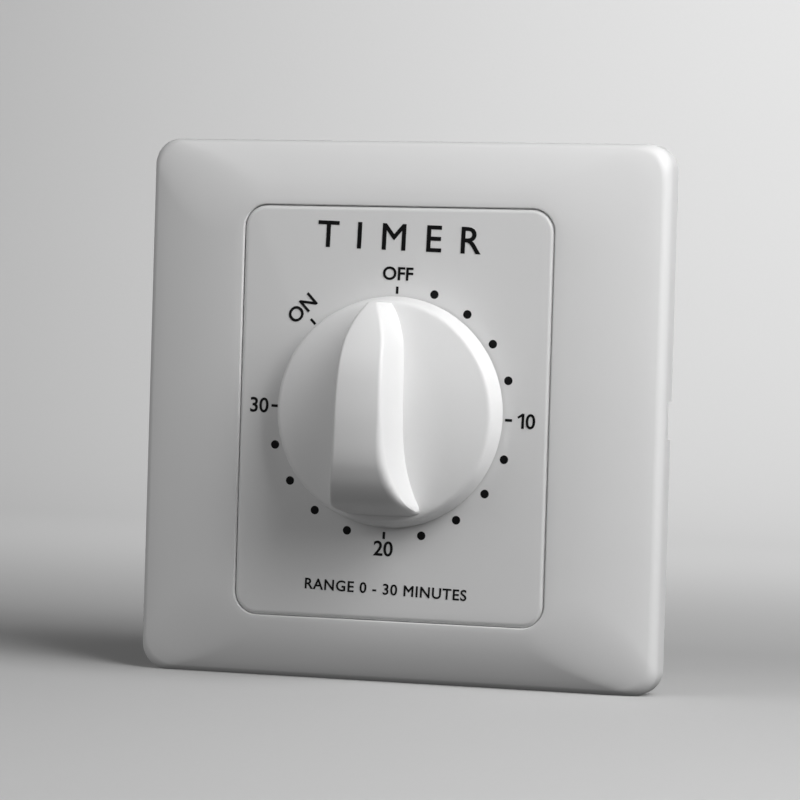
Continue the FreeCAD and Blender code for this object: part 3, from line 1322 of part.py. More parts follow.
def make_contacts():
    """The moving leaf that rides the cam, the fixed leaf above it, their contacts and rivets."""
    rivet_y = "leaf_front + leaf_width / 2"
    make_terminal("line_terminal", -1, "moving_level - strip_thick", rivet_y)
    make_terminal("load_terminal", 1, "fixed_level + leaf_thick", rivet_y)
    start = -number("pocket_offset + strip_width / 2")
    end = number("contact_offset + leaf_overhang")
    low, thick = number("moving_level"), number("leaf_thick")
    nose = number("cam_round - cam_notch + 0.25")
    wide = low - nose
    inset = wide - thick * (math.sqrt(2) - 1)
    crease = nose + thick * math.sqrt(2)
    high = low + thick
    under = [(start, low), (-wide, low), (0, nose), (wide, low), (end, low)]
    over = [(end, high), (inset, high), (0, crease), (-inset, high), (start, high)]
    edges = closed([Vector(x, 0, z) for x, z in under + over])
    strip = solid_feature("moving_strip", slab(edges, number("leaf_width")), level="leaf_front")
    hole = ("leaf_thick + 2", "rivet_round + fit_gap")
    eye = upright("moving_eye", "-pocket_offset", rivet_y, "moving_level - 1", *hole)
    node("moving_contact_leaf", cut("moving_contact_leaf", strip, eye))
    reach = "pocket_offset + strip_width / 2 - contact_offset + leaf_overhang"
    corner = ("contact_offset - leaf_overhang", "leaf_front", "fixed_level")
    fixed = box("fixed_strip", corner, (reach, "leaf_width", "leaf_thick"))
    eye = upright("fixed_eye", "pocket_offset", rivet_y, "fixed_level - 1", *hole)
    node("fixed_contact_leaf", cut("fixed_contact_leaf", fixed, eye))
    sizes = ("contact_thick", "contact_round")
    levels = {"moving_contact": "moving_level + leaf_thick", "fixed_contact": "fixed_level - contact_thick"}
    for label, level in levels.items():
        node(label, upright(label, "contact_offset", rivet_y, level, *sizes))
    rivets = []
    for side, foot in ((-1, "moving_level - strip_thick"), (1, "fixed_level")):
        x = f"{side} * pocket_offset"
        start, top = f"{foot} - rivet_head_thick", f"{foot} + strip_thick + leaf_thick"
        length = "strip_thick + leaf_thick + 2 * rivet_head_thick"
        stem = upright(f"rivet_stem_{side + 1}", x, rivet_y, start, length, "rivet_round")
        heads = [
            upright(f"rivet_{name}_{side + 1}", x, rivet_y, level, "rivet_head_thick", "rivet_head")
            for name, level in (("foot", start), ("head", top))
        ]
        rivets.append(fuse(f"leaf_rivet_{side + 1}", stem, *heads))
    group("leaf_rivets", rivets)
    screws, washers = [], []
    washer_level = "strip_back + wire_room"
    for side in (-1, 1):
        place = (f"{side} * pocket_offset", "terminal_level")
        plate = centred_box(f"washer_plate_{side + 1}", place, washer_level,
                            ("terminal_washer_size", "terminal_washer_thick", "terminal_washer_size"))
        hole = rod(f"washer_hole_{side + 1}", place, f"{washer_level} - 1", "terminal_washer_thick + 2",
                   "terminal_screw_round + fit_gap")
        washers.append(cut(f"terminal_washer_{side + 1}", plate, hole))
        screws.append(screw(f"terminal_screw_{side + 1}", place, f"{washer_level} + terminal_washer_thick",
                            "terminal_screw_length", True, "terminal_screw_round"))
    group("terminal_washers", washers)
    group("terminal_screws", screws)


def make_knob_clip():
    """A folded leaf between the arbor's flat and the knob's hub."""
    level = "arbor_front + 1.5"
    low = centred_box("clip_low", ("0", "arbor_flat + fit_gap + clip_thick / 2"), level,
                      ("clip_width", "clip_length", "clip_thick"))
    high = centred_box("clip_high", ("0", "arbor_flat + fit_gap + clip_height - clip_thick / 2"), level,
                       ("clip_width", "clip_length", "clip_thick"))
    fold = centred_box("clip_fold", ("0", "arbor_flat + fit_gap + clip_height / 2"), level,
                       ("clip_width", "clip_thick", "clip_height"))
    node("knob_spring_clip", fuse("knob_spring_clip", low, high, fold))


def check_and_write():
    """Stops on any failed object or shape, then writes each sub-part to its own file."""
    for thing in doc.Objects:
        if set(thing.State) & {"Invalid", "Error"}:
            raise RuntimeError(f"{thing.Label} did not build: {thing.State}")
    for thing in nodes:
        shape = thing.Shape
        if shape.isNull() or not shape.isValid() or not shape.Solids:
            raise RuntimeError(f"{thing.Label} has no sound shape")
    os.makedirs("parts", exist_ok=True)
    for thing in nodes:
        thing.Shape.exportStep(f"parts/{thing.Label}.step")
        print(f"{thing.Label}: {len(thing.Shape.Solids)} solid(s), {thing.Shape.Volume:.1f} mm3")


make_cover_plate()
make_mounting_frame()
make_centre_panel()
make_knob()
make_knob_clip()
make_rear_housing()
make_contact_base()
make_screws()
make_movement_plate("front_movement_plate", "-front_plate_level", front=True)
make_movement_plate("rear_movement_plate", "rear_plate_front", front=False)
make_pillars()
make_main_arbor()
make_cam()
make_mainspring()
make_train()
make_contacts()
doc.recompute()
check_and_write()
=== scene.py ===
"""Looks of the mechanical timer switch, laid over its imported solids.

The part's own frame is kept: X to the right, Z up, Y into the wall, with the wall's face at Y = 0.
Sizes in the classes are millimetres and degrees. MM turns them into Blender's metres. NEAR, in
metres, is how close two points lie that are taken for one. FACING turns a new flat shape upright,
to look along Y. ROUND_STEPS is the number of edges round a small pin or dot, and OVERCUT is how far
a tool reaches past what it cuts.
"""

import json
import logging
import math
from collections.abc import Sequence
from dataclasses import dataclass
from enum import Enum
from functools import cache
from typing import ClassVar

import bmesh
import bpy
from mathutils import Matrix, Vector

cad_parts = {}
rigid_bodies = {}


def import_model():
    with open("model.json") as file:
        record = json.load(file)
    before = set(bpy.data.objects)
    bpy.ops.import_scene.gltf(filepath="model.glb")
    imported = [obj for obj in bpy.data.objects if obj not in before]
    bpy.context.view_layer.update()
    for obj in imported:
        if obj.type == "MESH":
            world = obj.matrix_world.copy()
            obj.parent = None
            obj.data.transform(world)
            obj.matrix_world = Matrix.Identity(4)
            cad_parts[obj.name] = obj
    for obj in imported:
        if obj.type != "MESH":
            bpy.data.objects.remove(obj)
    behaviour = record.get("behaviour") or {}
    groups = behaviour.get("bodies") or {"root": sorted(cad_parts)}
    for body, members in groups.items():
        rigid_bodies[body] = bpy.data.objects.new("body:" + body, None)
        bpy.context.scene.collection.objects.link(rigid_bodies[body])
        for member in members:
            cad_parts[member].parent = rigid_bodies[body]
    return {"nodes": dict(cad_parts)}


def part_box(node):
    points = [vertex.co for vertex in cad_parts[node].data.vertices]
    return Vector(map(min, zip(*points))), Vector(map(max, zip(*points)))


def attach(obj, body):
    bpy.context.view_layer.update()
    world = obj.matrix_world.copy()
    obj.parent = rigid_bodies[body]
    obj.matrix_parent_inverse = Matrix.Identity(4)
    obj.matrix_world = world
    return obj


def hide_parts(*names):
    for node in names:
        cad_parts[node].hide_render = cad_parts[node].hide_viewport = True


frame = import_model()

MM = 0.001
NEAR = 1e-7
FACING = (math.pi / 2, 0.0, 0.0)
ROUND_STEPS = 40
OVERCUT = 1.0
log = logging.getLogger("timer_switch")

Plan = Sequence[tuple[float, float]]
Colour = tuple[float, float, float]


# Shader maths

class Shade:
    """A number that changes over a surface: an output socket that takes Python's own operators."""

    def __init__(self, recipe: "Recipe", socket: bpy.types.NodeSocket) -> None:
        """Wraps a socket.

        Args:
            recipe: The recipe whose tree the socket is in.
            socket: The output that carries the number.
        """
        self.recipe = recipe
        self.socket = socket

    def maths(self, operation: str, first: "Shade | float", second: "Shade | float") -> "Shade":
        """Adds one Math node.

        Args:
            operation: The node's operation.
            first: Its first number.
            second: Its second number.

        Returns:
            The node's result.
        """
        node = self.recipe.add("ShaderNodeMath", {"operation": operation}, {0: first, 1: second})
        return Shade(self.recipe, node.outputs[0])

    def __add__(self, other: "Shade | float") -> "Shade":
        """This plus the other."""
        return self.maths("ADD", self, other)

    def __radd__(self, other: float) -> "Shade":
        """The other plus this."""
        return self.maths("ADD", other, self)

    def __sub__(self, other: "Shade | float") -> "Shade":
        """This less the other."""
        return self.maths("SUBTRACT", self, other)

    def __rsub__(self, other: float) -> "Shade":
        """The other less this."""
        return self.maths("SUBTRACT", other, self)

    def __mul__(self, other: "Shade | float") -> "Shade":
        """This times the other."""
        return self.maths("MULTIPLY", self, other)

    def __rmul__(self, other: float) -> "Shade":
        """The other times this."""
        return self.maths("MULTIPLY", other, self)

    def spread(self, low: float, high: float) -> "Shade":
        """Maps low to 0 and high to 1 with a soft S, held at both ends.

        Args:
            low: The value that becomes 0.
            high: The value that becomes 1.

        Returns:
            The mapped number.
        """
        settings = {"interpolation_type": "SMOOTHSTEP"}
        node = self.recipe.add("ShaderNodeMapRange", settings, {"Value": self, 1: low, 2: high})
        return Shade(self.recipe, node.outputs["Result"])


class Recipe:
    """One material being mixed: its node tree, and the methods that add to it."""

    def __init__(self, name: str) -> None:
        """Starts a material with only a surface shader.

        Args:
            name: The material's name.
        """
        self.material = bpy.data.materials.new(name)
        self.material.use_nodes = True
        self.tree = self.material.node_tree
        self.surface = self.tree.nodes["Principled BSDF"]
        self.place = self.add("ShaderNodeTexCoord", {}, {}).outputs["Object"]

    def connect(self, socket: bpy.types.NodeSocket, value: object) -> None:
        """Sets or links one input.

        Args:
            socket: The input.
            value: A number, a vector, a Shade or a node's output.
        """
        if isinstance(value, Shade):
            value = value.socket
        if isinstance(value, bpy.types.NodeSocket):
            self.tree.links.new(value, socket)
        else:
            socket.default_value = value

    def add(self, kind: str, settings: dict, sockets: dict) -> bpy.types.Node:
        """Adds any node.

        Args:
            kind: The node's type.
            settings: Its own settings.
            sockets: What its inputs get, by name or number.

        Returns:
            The new node.
        """
        node = self.tree.nodes.new(kind)
        for name, value in settings.items():
            setattr(node, name, value)
        for name, value in sockets.items():
            self.connect(node.inputs[name], value)
        return node

    def noise(self, per_metre: float, detail: float, stretch: tuple = (1.0, 1.0, 1.0)) -> Shade:
        """A noise that sits still on the piece.

        Args:
            per_metre: How many of its patches fit in a metre.
            detail: How many finer layers it has.
            stretch: How much closer it repeats along each axis.

        Returns:
            The noise, around one half.
        """
        mapped = self.add("ShaderNodeMapping", {}, {"Vector": self.place, "Scale": stretch})
        sockets = {"Vector": mapped.outputs[0], "Scale": per_metre, "Detail": detail}
        return Shade(self, self.add("ShaderNodeTexNoise", {}, sockets).outputs[0])

    def tint(self, share: Shade, *ends: "Colour | bpy.types.NodeSocket") -> bpy.types.NodeSocket:
        """Goes between two colours.

        Args:
            share: 0 where the first shows and 1 where the second does.
            *ends: The two colours, or the outputs that carry them.

        Returns:
            The mixed colour's output.
        """
        first, second = ((*end, 1.0) if isinstance(end, tuple) else end for end in ends)
        sockets = {0: share, 6: first, 7: second}
        return self.add("ShaderNodeMix", {"data_type": "RGBA"}, sockets).outputs[2]

    def relief(self, height: Shade, depth: float) -> None:
        """Gives the surface a fine relief.

        Args:
            height: 0 in the hollows and 1 on the tops.
            depth: How deep it is, in millimetres.
        """
        bump = self.add("ShaderNodeBump", {}, {"Height": height, "Distance": depth * MM})
        self.feed("Normal", bump.outputs[0])

    def feed(self, name: str, value: object) -> None:
        """Sets or links one of the surface's sockets by name."""
        self.connect(self.surface.inputs[name], value)


def shaded(colour: Colour, share: float) -> Colour:
    """A colour made lighter or darker.

    Args:
        colour: Red, green and blue.
        share: What each is multiplied by.

    Returns:
        The new colour.
    """
    return tuple(min(part * share, 1.0) for part in colour)


# Finishes

@dataclass(frozen=True)
class Finish:
    """What every finish has: a name, a colour and how rough it is."""

    name: str
    colour: Colour
    roughness: float

    @cache
    def material(self) -> bpy.types.Material:
        """Mixes the material once and gives the same one each time."""
        recipe = Recipe(self.name)
        self.mix(recipe)
        return recipe.material

    def mix(self, recipe: Recipe) -> None:
        """Adds this finish's own nodes."""
        raise NotImplementedError


@dataclass(frozen=True)
class MouldedPlastic(Finish):
    """Injection-moulded plastic: a soft shine, faint flow clouds and the mould's fine grain."""

    cloud: float = 0.02
    grain: float = 0.004
    grain_size: float = 0.25

    def mix(self, recipe: Recipe) -> None:
        """Clouds the colour, varies the shine and raises the grain.

        Args:
            recipe: The recipe to add to.
        """
        clouds = recipe.noise(60.0, 2.0)
        light = shaded(self.colour, 1.0 + self.cloud)
        dark = shaded(self.colour, 1.0 - self.cloud)
        recipe.feed("Base Color", recipe.tint(clouds, dark, light))
        rubbed = recipe.noise(220.0, 2.0)
        grain = recipe.noise(1.0 / (self.grain_size * MM), 2.0)
        recipe.feed("Roughness", self.roughness + 0.03 * rubbed + 0.02 * grain)
        recipe.relief(grain, self.grain)
        recipe.feed("IOR", 1.49)
        recipe.feed("Subsurface Weight", 0.06)
        recipe.feed("Subsurface Radius", (1.0, 1.0, 1.0))
        recipe.feed("Subsurface Scale", 0.6 * MM)


@dataclass(frozen=True)
class TurnedMetal(Finish):
    """Bar turned on a lathe, with fine rings across the arbor's axis, which lies along Y."""

    ring: float = 0.12

    def mix(self, recipe: Recipe) -> None:
        """Rings the colour, the shine and the relief.

        Args:
            recipe: The recipe to add to.
        """
        per_metre = 1.0 / (self.ring * MM)
        rings = recipe.noise(per_metre, 2.0, stretch=(0.02, 1.0, 0.02))
        film = recipe.noise(240.0, 3.0).spread(0.35, 0.7)
        dark = shaded(self.colour, 0.72)
        recipe.feed("Base Color", recipe.tint(0.65 * rings + 0.35 * film, dark, self.colour))
        recipe.feed("Roughness", self.roughness + 0.14 * rings)
        recipe.feed("Metallic", 1.0)
        recipe.relief(rings, 0.003)


@dataclass(frozen=True)
class RolledMetal(Finish):
    """Strip or sheet that keeps the streaks of its rolling, with handling marks and a thin film."""

    tarnish: Colour = (0.3, 0.3, 0.3)
    streak: float = 0.15

    def mix(self, recipe: Recipe) -> None:
        """Streaks the shine along X and clouds the colour with tarnish.

        Args:
            recipe: The recipe to add to.
        """
        per_metre = 1.0 / (self.streak * MM)
        streaks = recipe.noise(per_metre, 3.0, stretch=(0.03, 0.6, 1.0))
        film = recipe.noise(190.0, 5.0).spread(0.42, 0.72)
        bright = recipe.tint(streaks.spread(0.2, 0.8), shaded(self.colour, 0.82), self.colour)
        recipe.feed("Base Color", recipe.tint(0.45 * film, bright, self.tarnish))
        recipe.feed("Roughness", self.roughness + 0.15 * streaks + 0.12 * film)
        recipe.feed("Metallic", 1.0)
        recipe.relief(streaks, 0.002)


@dataclass(frozen=True)
class PlatedMetal(Finish):
    """Zinc plate: small crystals of slightly different tone under a pale, faintly warm film."""

    crystal: float = 0.7

    def mix(self, recipe: Recipe) -> None:
        """Breaks the plating into crystals and dulls it in patches.

        Args:
            recipe: The recipe to add to.
        """
        scale = 1.0 / (self.crystal * MM)
        cells = recipe.add("ShaderNodeTexVoronoi", {}, {"Vector": recipe.place, "Scale": scale})
        tone = Shade(recipe, cells.outputs["Distance"]).spread(0.0, 0.9)
        dull = recipe.noise(420.0, 4.0).spread(0.4, 0.7)
        recipe.feed("Base Color", recipe.tint(tone, self.colour, shaded(self.colour, 0.78)))
        recipe.feed("Roughness", self.roughness + 0.12 * tone + 0.1 * dull)
        recipe.feed("Metallic", 1.0)
        recipe.relief(dull, 0.004)


@dataclass(frozen=True)
class PrintedInk(Finish):
    """Pad-printed ink: almost black, slightly thin in places, with a dull skin."""

    def mix(self, recipe: Recipe) -> None:
        """Thins the ink in specks and roughens its skin.

        Args:
            recipe: The recipe to add to.
        """
        thin = recipe.noise(2600.0, 3.0).spread(0.55, 0.8)
        recipe.feed("Base Color", recipe.tint(thin, self.colour, shaded(self.colour, 1.6)))
        recipe.feed("Roughness", self.roughness + 0.15 * thin)
        recipe.feed("Specular IOR Level", 0.15)
        recipe.relief(thin, 0.002)


@dataclass(frozen=True)
class StudioPaper(Finish):
    """The plain pale sheet that the part stands on."""

    def mix(self, recipe: Recipe) -> None:
        """Gives the paper its faint tooth.

        Args:
            recipe: The recipe to add to.
        """
        tooth = recipe.noise(900.0, 2.0)
        recipe.feed("Base Color", recipe.tint(tooth, shaded(self.colour, 0.98), self.colour))
        recipe.feed("Roughness", self.roughness)
        recipe.relief(tooth, 0.02)


class Stock(Enum):
    """The finishes of this part, by the record's slot where it has one."""

    COVER_PLASTIC = MouldedPlastic("cover_plastic", (0.80, 0.80, 0.80), 0.38)
    PANEL_PLASTIC = MouldedPlastic("panel_plastic", (0.79, 0.79, 0.79), 0.34)
    KNOB_PLASTIC = MouldedPlastic("knob_plastic", (0.87, 0.87, 0.87), 0.34, grain=0.002)
    FRAME_PLASTIC = MouldedPlastic("frame_plastic", (0.62, 0.62, 0.61), 0.48, grain=0.012)
    HOUSING_PLASTIC = MouldedPlastic("housing_plastic", (0.68, 0.68, 0.66), 0.46, grain=0.012)
    BASE_PLASTIC = MouldedPlastic("base_plastic", (0.075, 0.078, 0.082), 0.42, grain=0.012)
    CAM_PLASTIC = MouldedPlastic("cam_plastic", (0.80, 0.78, 0.70), 0.38)
    ZINC_STEEL = PlatedMetal("zinc_steel", (0.70, 0.71, 0.72), 0.28)
    PLATE_STEEL = RolledMetal("plate_steel", (0.56, 0.57, 0.58), 0.30, (0.30, 0.29, 0.28))
    TURNED_STEEL = TurnedMetal("turned_steel", (0.62, 0.63, 0.64), 0.22)
    SPRING_STEEL = RolledMetal("spring_steel", (0.10, 0.13, 0.22), 0.24, (0.16, 0.11, 0.10))
    WHEEL_BRASS = RolledMetal("wheel_brass", (0.80, 0.58, 0.24), 0.26, (0.42, 0.26, 0.11))
    CONTACT_BRASS = RolledMetal("contact_brass", (0.76, 0.55, 0.26), 0.30, (0.36, 0.22, 0.11))
    LEAF_BRONZE = RolledMetal("leaf_bronze", (0.66, 0.38, 0.20), 0.28, (0.32, 0.17, 0.09))
    CONTACT_SILVER = TurnedMetal("contact_silver", (0.82, 0.81, 0.78), 0.30, ring=0.08)
    DIAL_INK = PrintedInk("dial_ink", (0.005, 0.005, 0.0055), 0.5)
    PALE_PAPER = StudioPaper("pale_paper", (0.62, 0.62, 0.62), 0.85)


Kept = dict[Stock, tuple[str, ...]]


# The bench: one mesh shaped with Blender's own operators

def clear_bench() -> None:
    """Goes back to object mode with nothing selected."""
    if bpy.context.object and bpy.context.object.mode != "OBJECT":
        bpy.ops.object.mode_set(mode="OBJECT")
    bpy.ops.object.select_all(action="DESELECT")


def take_up(piece: bpy.types.Object) -> None:
    """Makes one piece the selected and active one.

    Args:
        piece: The piece to work on.
    """
    clear_bench()
    piece.select_set(True)
    bpy.context.view_layer.objects.active = piece


class Carving(Enum):
    """What a tool does to a piece."""

    CUT = "DIFFERENCE"
    JOIN = "UNION"


def carve(piece: bpy.types.Object, tool: bpy.types.Object, work: Carving = Carving.CUT) -> None:
    """Cuts a piece with a tool, or joins the tool to it, and throws the tool away.

    Args:
        piece: The piece that is kept.
        tool: The piece that is used up.
        work: What the tool does.
    """
    take_up(piece)
    bpy.ops.object.modifier_add(type="BOOLEAN")
    modifier = piece.modifiers[-1]
    modifier.operation = work.value
    modifier.solver = "EXACT"
    modifier.object = tool
    bpy.ops.object.modifier_apply(modifier=modifier.name)
    bpy.data.objects.remove(tool)


def settle(piece: bpy.types.Object, stock: Stock, body: str, angle: float = 30.0) -> None:
    """Shades, dresses and mounts a finished piece.

    Args:
        piece: The finished piece.
        stock: Its finish.
        body: The body that it rides on.
        angle: Edges sharper than this stay crisp.
    """
    take_up(piece)
    bpy.ops.object.transform_apply(location=True, rotation=True, scale=True)
    bpy.ops.object.shade_smooth_by_angle(angle=math.radians(angle))
    piece.data.materials.clear()
    piece.data.materials.append(stock.value.material())
    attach(piece, body)
    log.info("made %s in %s", piece.name, stock.value.name)


def select_none(edges: bool = False) -> None:
    """Deselects the mesh in edit mode, and goes on with its points or its edges."""
    bpy.context.tool_settings.mesh_select_mode = (not edges, edges, False)
    bpy.ops.mesh.select_all(action="DESELECT")


def add_sheet(centre: tuple[float, float, float], width: float, height: float) -> None:
    """Adds a rectangle that faces along Y to the mesh in edit mode.

    Args:
        centre: Its centre, in metres.
        width: Its size along X.
        height: Its size along Z.
    """
    select_none()
    bpy.ops.mesh.primitive_plane_add(size=1.0, location=centre, rotation=FACING)
    bpy.ops.transform.resize(value=(width * MM, 1.0, height * MM), center_override=centre)


def extent(piece: bpy.types.Object) -> list[tuple[float, float]]:
    """The lowest and the highest place of a piece on X, Y and Z, in metres."""
    points = [point.co for point in piece.data.vertices]
    return [(min(p[i] for p in points), max(p[i] for p in points)) for i in range(3)]


class Workpiece:
    """A mesh in the making. It is built from outlines, which are found again by where they lie."""

    def __init__(self, name: str) -> None:
        """Starts an empty mesh and opens it for editing.

        Args:
            name: The piece's name.
        """
        clear_bench()
        bpy.ops.mesh.primitive_plane_add(size=MM)
        self.piece = bpy.context.object
        self.piece.name = name
        self.piece.data.name = name
        self.outlines: list[set[tuple[float, float, float]]] = []
        bpy.ops.object.mode_set(mode="EDIT")
        bpy.context.tool_settings.mesh_select_mode = (True, False, False)
        bpy.ops.mesh.select_all(action="SELECT")
        bpy.ops.mesh.delete(type="VERT")

    @staticmethod
    def spot(point: Vector) -> tuple[float, float, float]:
        """A point's place to a ten-thousandth of a millimetre, to find it again by."""
        return tuple(round(part / MM, 4) for part in point)

    def keep_outline(self) -> int:
        """Remembers the selected points as one outline and gives its number."""
        shape = bmesh.from_edit_mesh(self.piece.data)
        self.outlines.append({self.spot(point.co) for point in shape.verts if point.select})
        return len(self.outlines) - 1

    def open_outline(self) -> int:
        """Remembers the selected face's points as one outline and takes its face away."""
        number = self.keep_outline()
        bpy.ops.mesh.delete(type="ONLY_FACE")
        return number

    def choose_outlines(self, *numbers: int) -> None:
        """Selects the edges that run along some outlines.

        Args:
            *numbers: The outlines' numbers.
        """
        select_none(edges=True)
        for edge in bmesh.from_edit_mesh(self.piece.data).edges:
            ends = {self.spot(end.co) for end in edge.verts}
            if any(ends <= self.outlines[number] for number in numbers):
                edge.select_set(True)
        bmesh.update_edit_mesh(self.piece.data)

    def plate_outline(self, level: float, width: float, height: float, corner: float,
                      steps: int = 8, drop: float = 0.0) -> int:
        """Adds a rounded rectangle that faces along Y.

        Args:
            level: Its place on Y.
            width: Its size along X.
            height: Its size along Z.
            corner: The radius of its corners.
            steps: The number of edges in each corner.
            drop: How far its centre lies below the origin.

        Returns:
            The outline's number.
        """
        add_sheet((0.0, level * MM, -drop * MM), width, height)
        bpy.ops.mesh.bevel(offset=corner * MM, segments=steps, affect="VERTICES")
        return self.open_outline()

    def turned(self, profile: Plan, steps: int, axis: float = 0.0) -> tuple[int, int]:
        """Draws a round skin out of one circle, ring by ring.

        Args:
            profile: The (radius, level) of each ring.
            steps: The number of edges round a ring.
            axis: The place of its axis on X.

        Returns:
            The numbers of the first and the last ring.
        """
        radius, level = profile[0]
        select_none()
        bpy.ops.mesh.primitive_circle_add(
            vertices=steps, radius=radius * MM,
            location=(axis * MM, level * MM, 0.0), rotation=FACING,
        )
        first = self.keep_outline()
        for next_radius, next_level in profile[1:]:
            move = {"value": (0.0, (next_level - level) * MM, 0.0)}
            bpy.ops.mesh.extrude_region_move(TRANSFORM_OT_translate=move)
            centre = (axis * MM, next_level * MM, 0.0)
            share = next_radius / radius
            bpy.ops.transform.resize(value=(share, 1.0, share), center_override=centre)
            radius, level = next_radius, next_level
        return first, self.keep_outline()

    def cap(self, number: int) -> None:
        """Closes the outline of that number with one face."""
        self.choose_outlines(number)
        bpy.ops.mesh.edge_face_add()

    def enclose(self, numbers: Sequence[int]) -> None:
        """Bridges outlines one after another and closes both ends.

        Args:
            numbers: Their numbers, in order.
        """
        for first, last in zip(numbers, numbers[1:]):
            self.choose_outlines(first, last)
            bpy.ops.mesh.bridge_edge_loops()
        self.cap(numbers[0])
        self.cap(numbers[-1])

    def soften(self, number: int, width: float, steps: int) -> None:
        """Bevels the edges along an outline.

        Args:
            number: The outline's number.
            width: The bevel's width on each side.
            steps: The number of its facets.
        """
        self.choose_outlines(number)
        bpy.ops.mesh.bevel(offset=width * MM, segments=steps, affect="EDGES")

    def lift_off(self) -> bpy.types.Object:
        """Turns all faces outwards and takes the piece off the bench."""
        bpy.context.tool_settings.mesh_select_mode = (True, False, False)
        bpy.ops.mesh.select_all(action="SELECT")
        bpy.ops.mesh.remove_doubles(threshold=NEAR)
        bpy.ops.mesh.normals_make_consistent(inside=False)
        bpy.ops.object.mode_set(mode="OBJECT")
        return self.piece


def pin(name: str, profile: Plan, axis: float = 0.0) -> bpy.types.Object:
    """A stepped round pin along Y, which bores a piece or is joined to it.

    Args:
        name: Its name.
        profile: The (radius, level) of each of its steps.
        axis: The place of its axis on X.

    Returns:
        The pin.
    """
    work = Workpiece(name)
    for end in work.turned(profile, ROUND_STEPS, axis):
        work.cap(end)
    return work.lift_off()


def flowing(plan: Plan, place: float) -> float:
    """Reads a smooth curve through a few points.

    Args:
        plan: The points, as (place, value), in order of falling place.
        place: Where to read it.

    Returns:
        The curve's value there.
    """
    slopes = []
    for i in range(len(plan)):
        before, after = plan[max(i - 1, 0)], plan[min(i + 1, len(plan) - 1)]
        slopes.append((after[1] - before[1]) / (after[0] - before[0]))
    last = len(plan) - 2
    i = next((n for n in range(last + 1) if place >= plan[n + 1][0]), last)
    span = plan[i + 1][0] - plan[i][0]
    share = min(max((place - plan[i][0]) / span, 0.0), 1.0)
    return (
        (2 * share**3 - 3 * share**2 + 1) * plan[i][1]
        + (share**3 - 2 * share**2 + share) * span * slopes[i]
        + (3 * share**2 - 2 * share**3) * plan[i + 1][1]
        + (share**3 - share**2) * span * slopes[i + 1]
    )


# Sub-assemblies

@dataclass
class SubAssembly:
    """Pieces that go together, with the solids that keep their shape and get a finish."""

    kept: ClassVar[Kept] = {}

    def dress(self) -> None:
        """Gives each kept solid its finish."""
        for stock, nodes in self.kept.items():
            for name in nodes:
                solid = frame["nodes"][name]
                for slot in solid.material_slots:
                    slot.material = stock.value.material()
                log.info("dressed %s in %s", name, stock.value.name)

    def build(self) -> None:
        """Makes the group's new pieces. A group without any makes none."""

    def finish(self) -> None:
        """Builds and dresses the whole group."""
        self.build()
        self.dress()


def stand_for(piece: bpy.types.Object, node: str) -> None:
    """Lets a new piece stand for a solid.

    Args:
        piece: The new piece.
        node: The solid's name.
    """
    low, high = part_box(node)
    sides = zip(extent(piece), low, high)
    off = [round(max(abs(side[0] - a), abs(side[1] - b)) / MM, 2) for side, a, b in sides]
    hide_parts(node)
    log.info("%s stands for %s; their boxes differ by %s mm", piece.name, node, off)


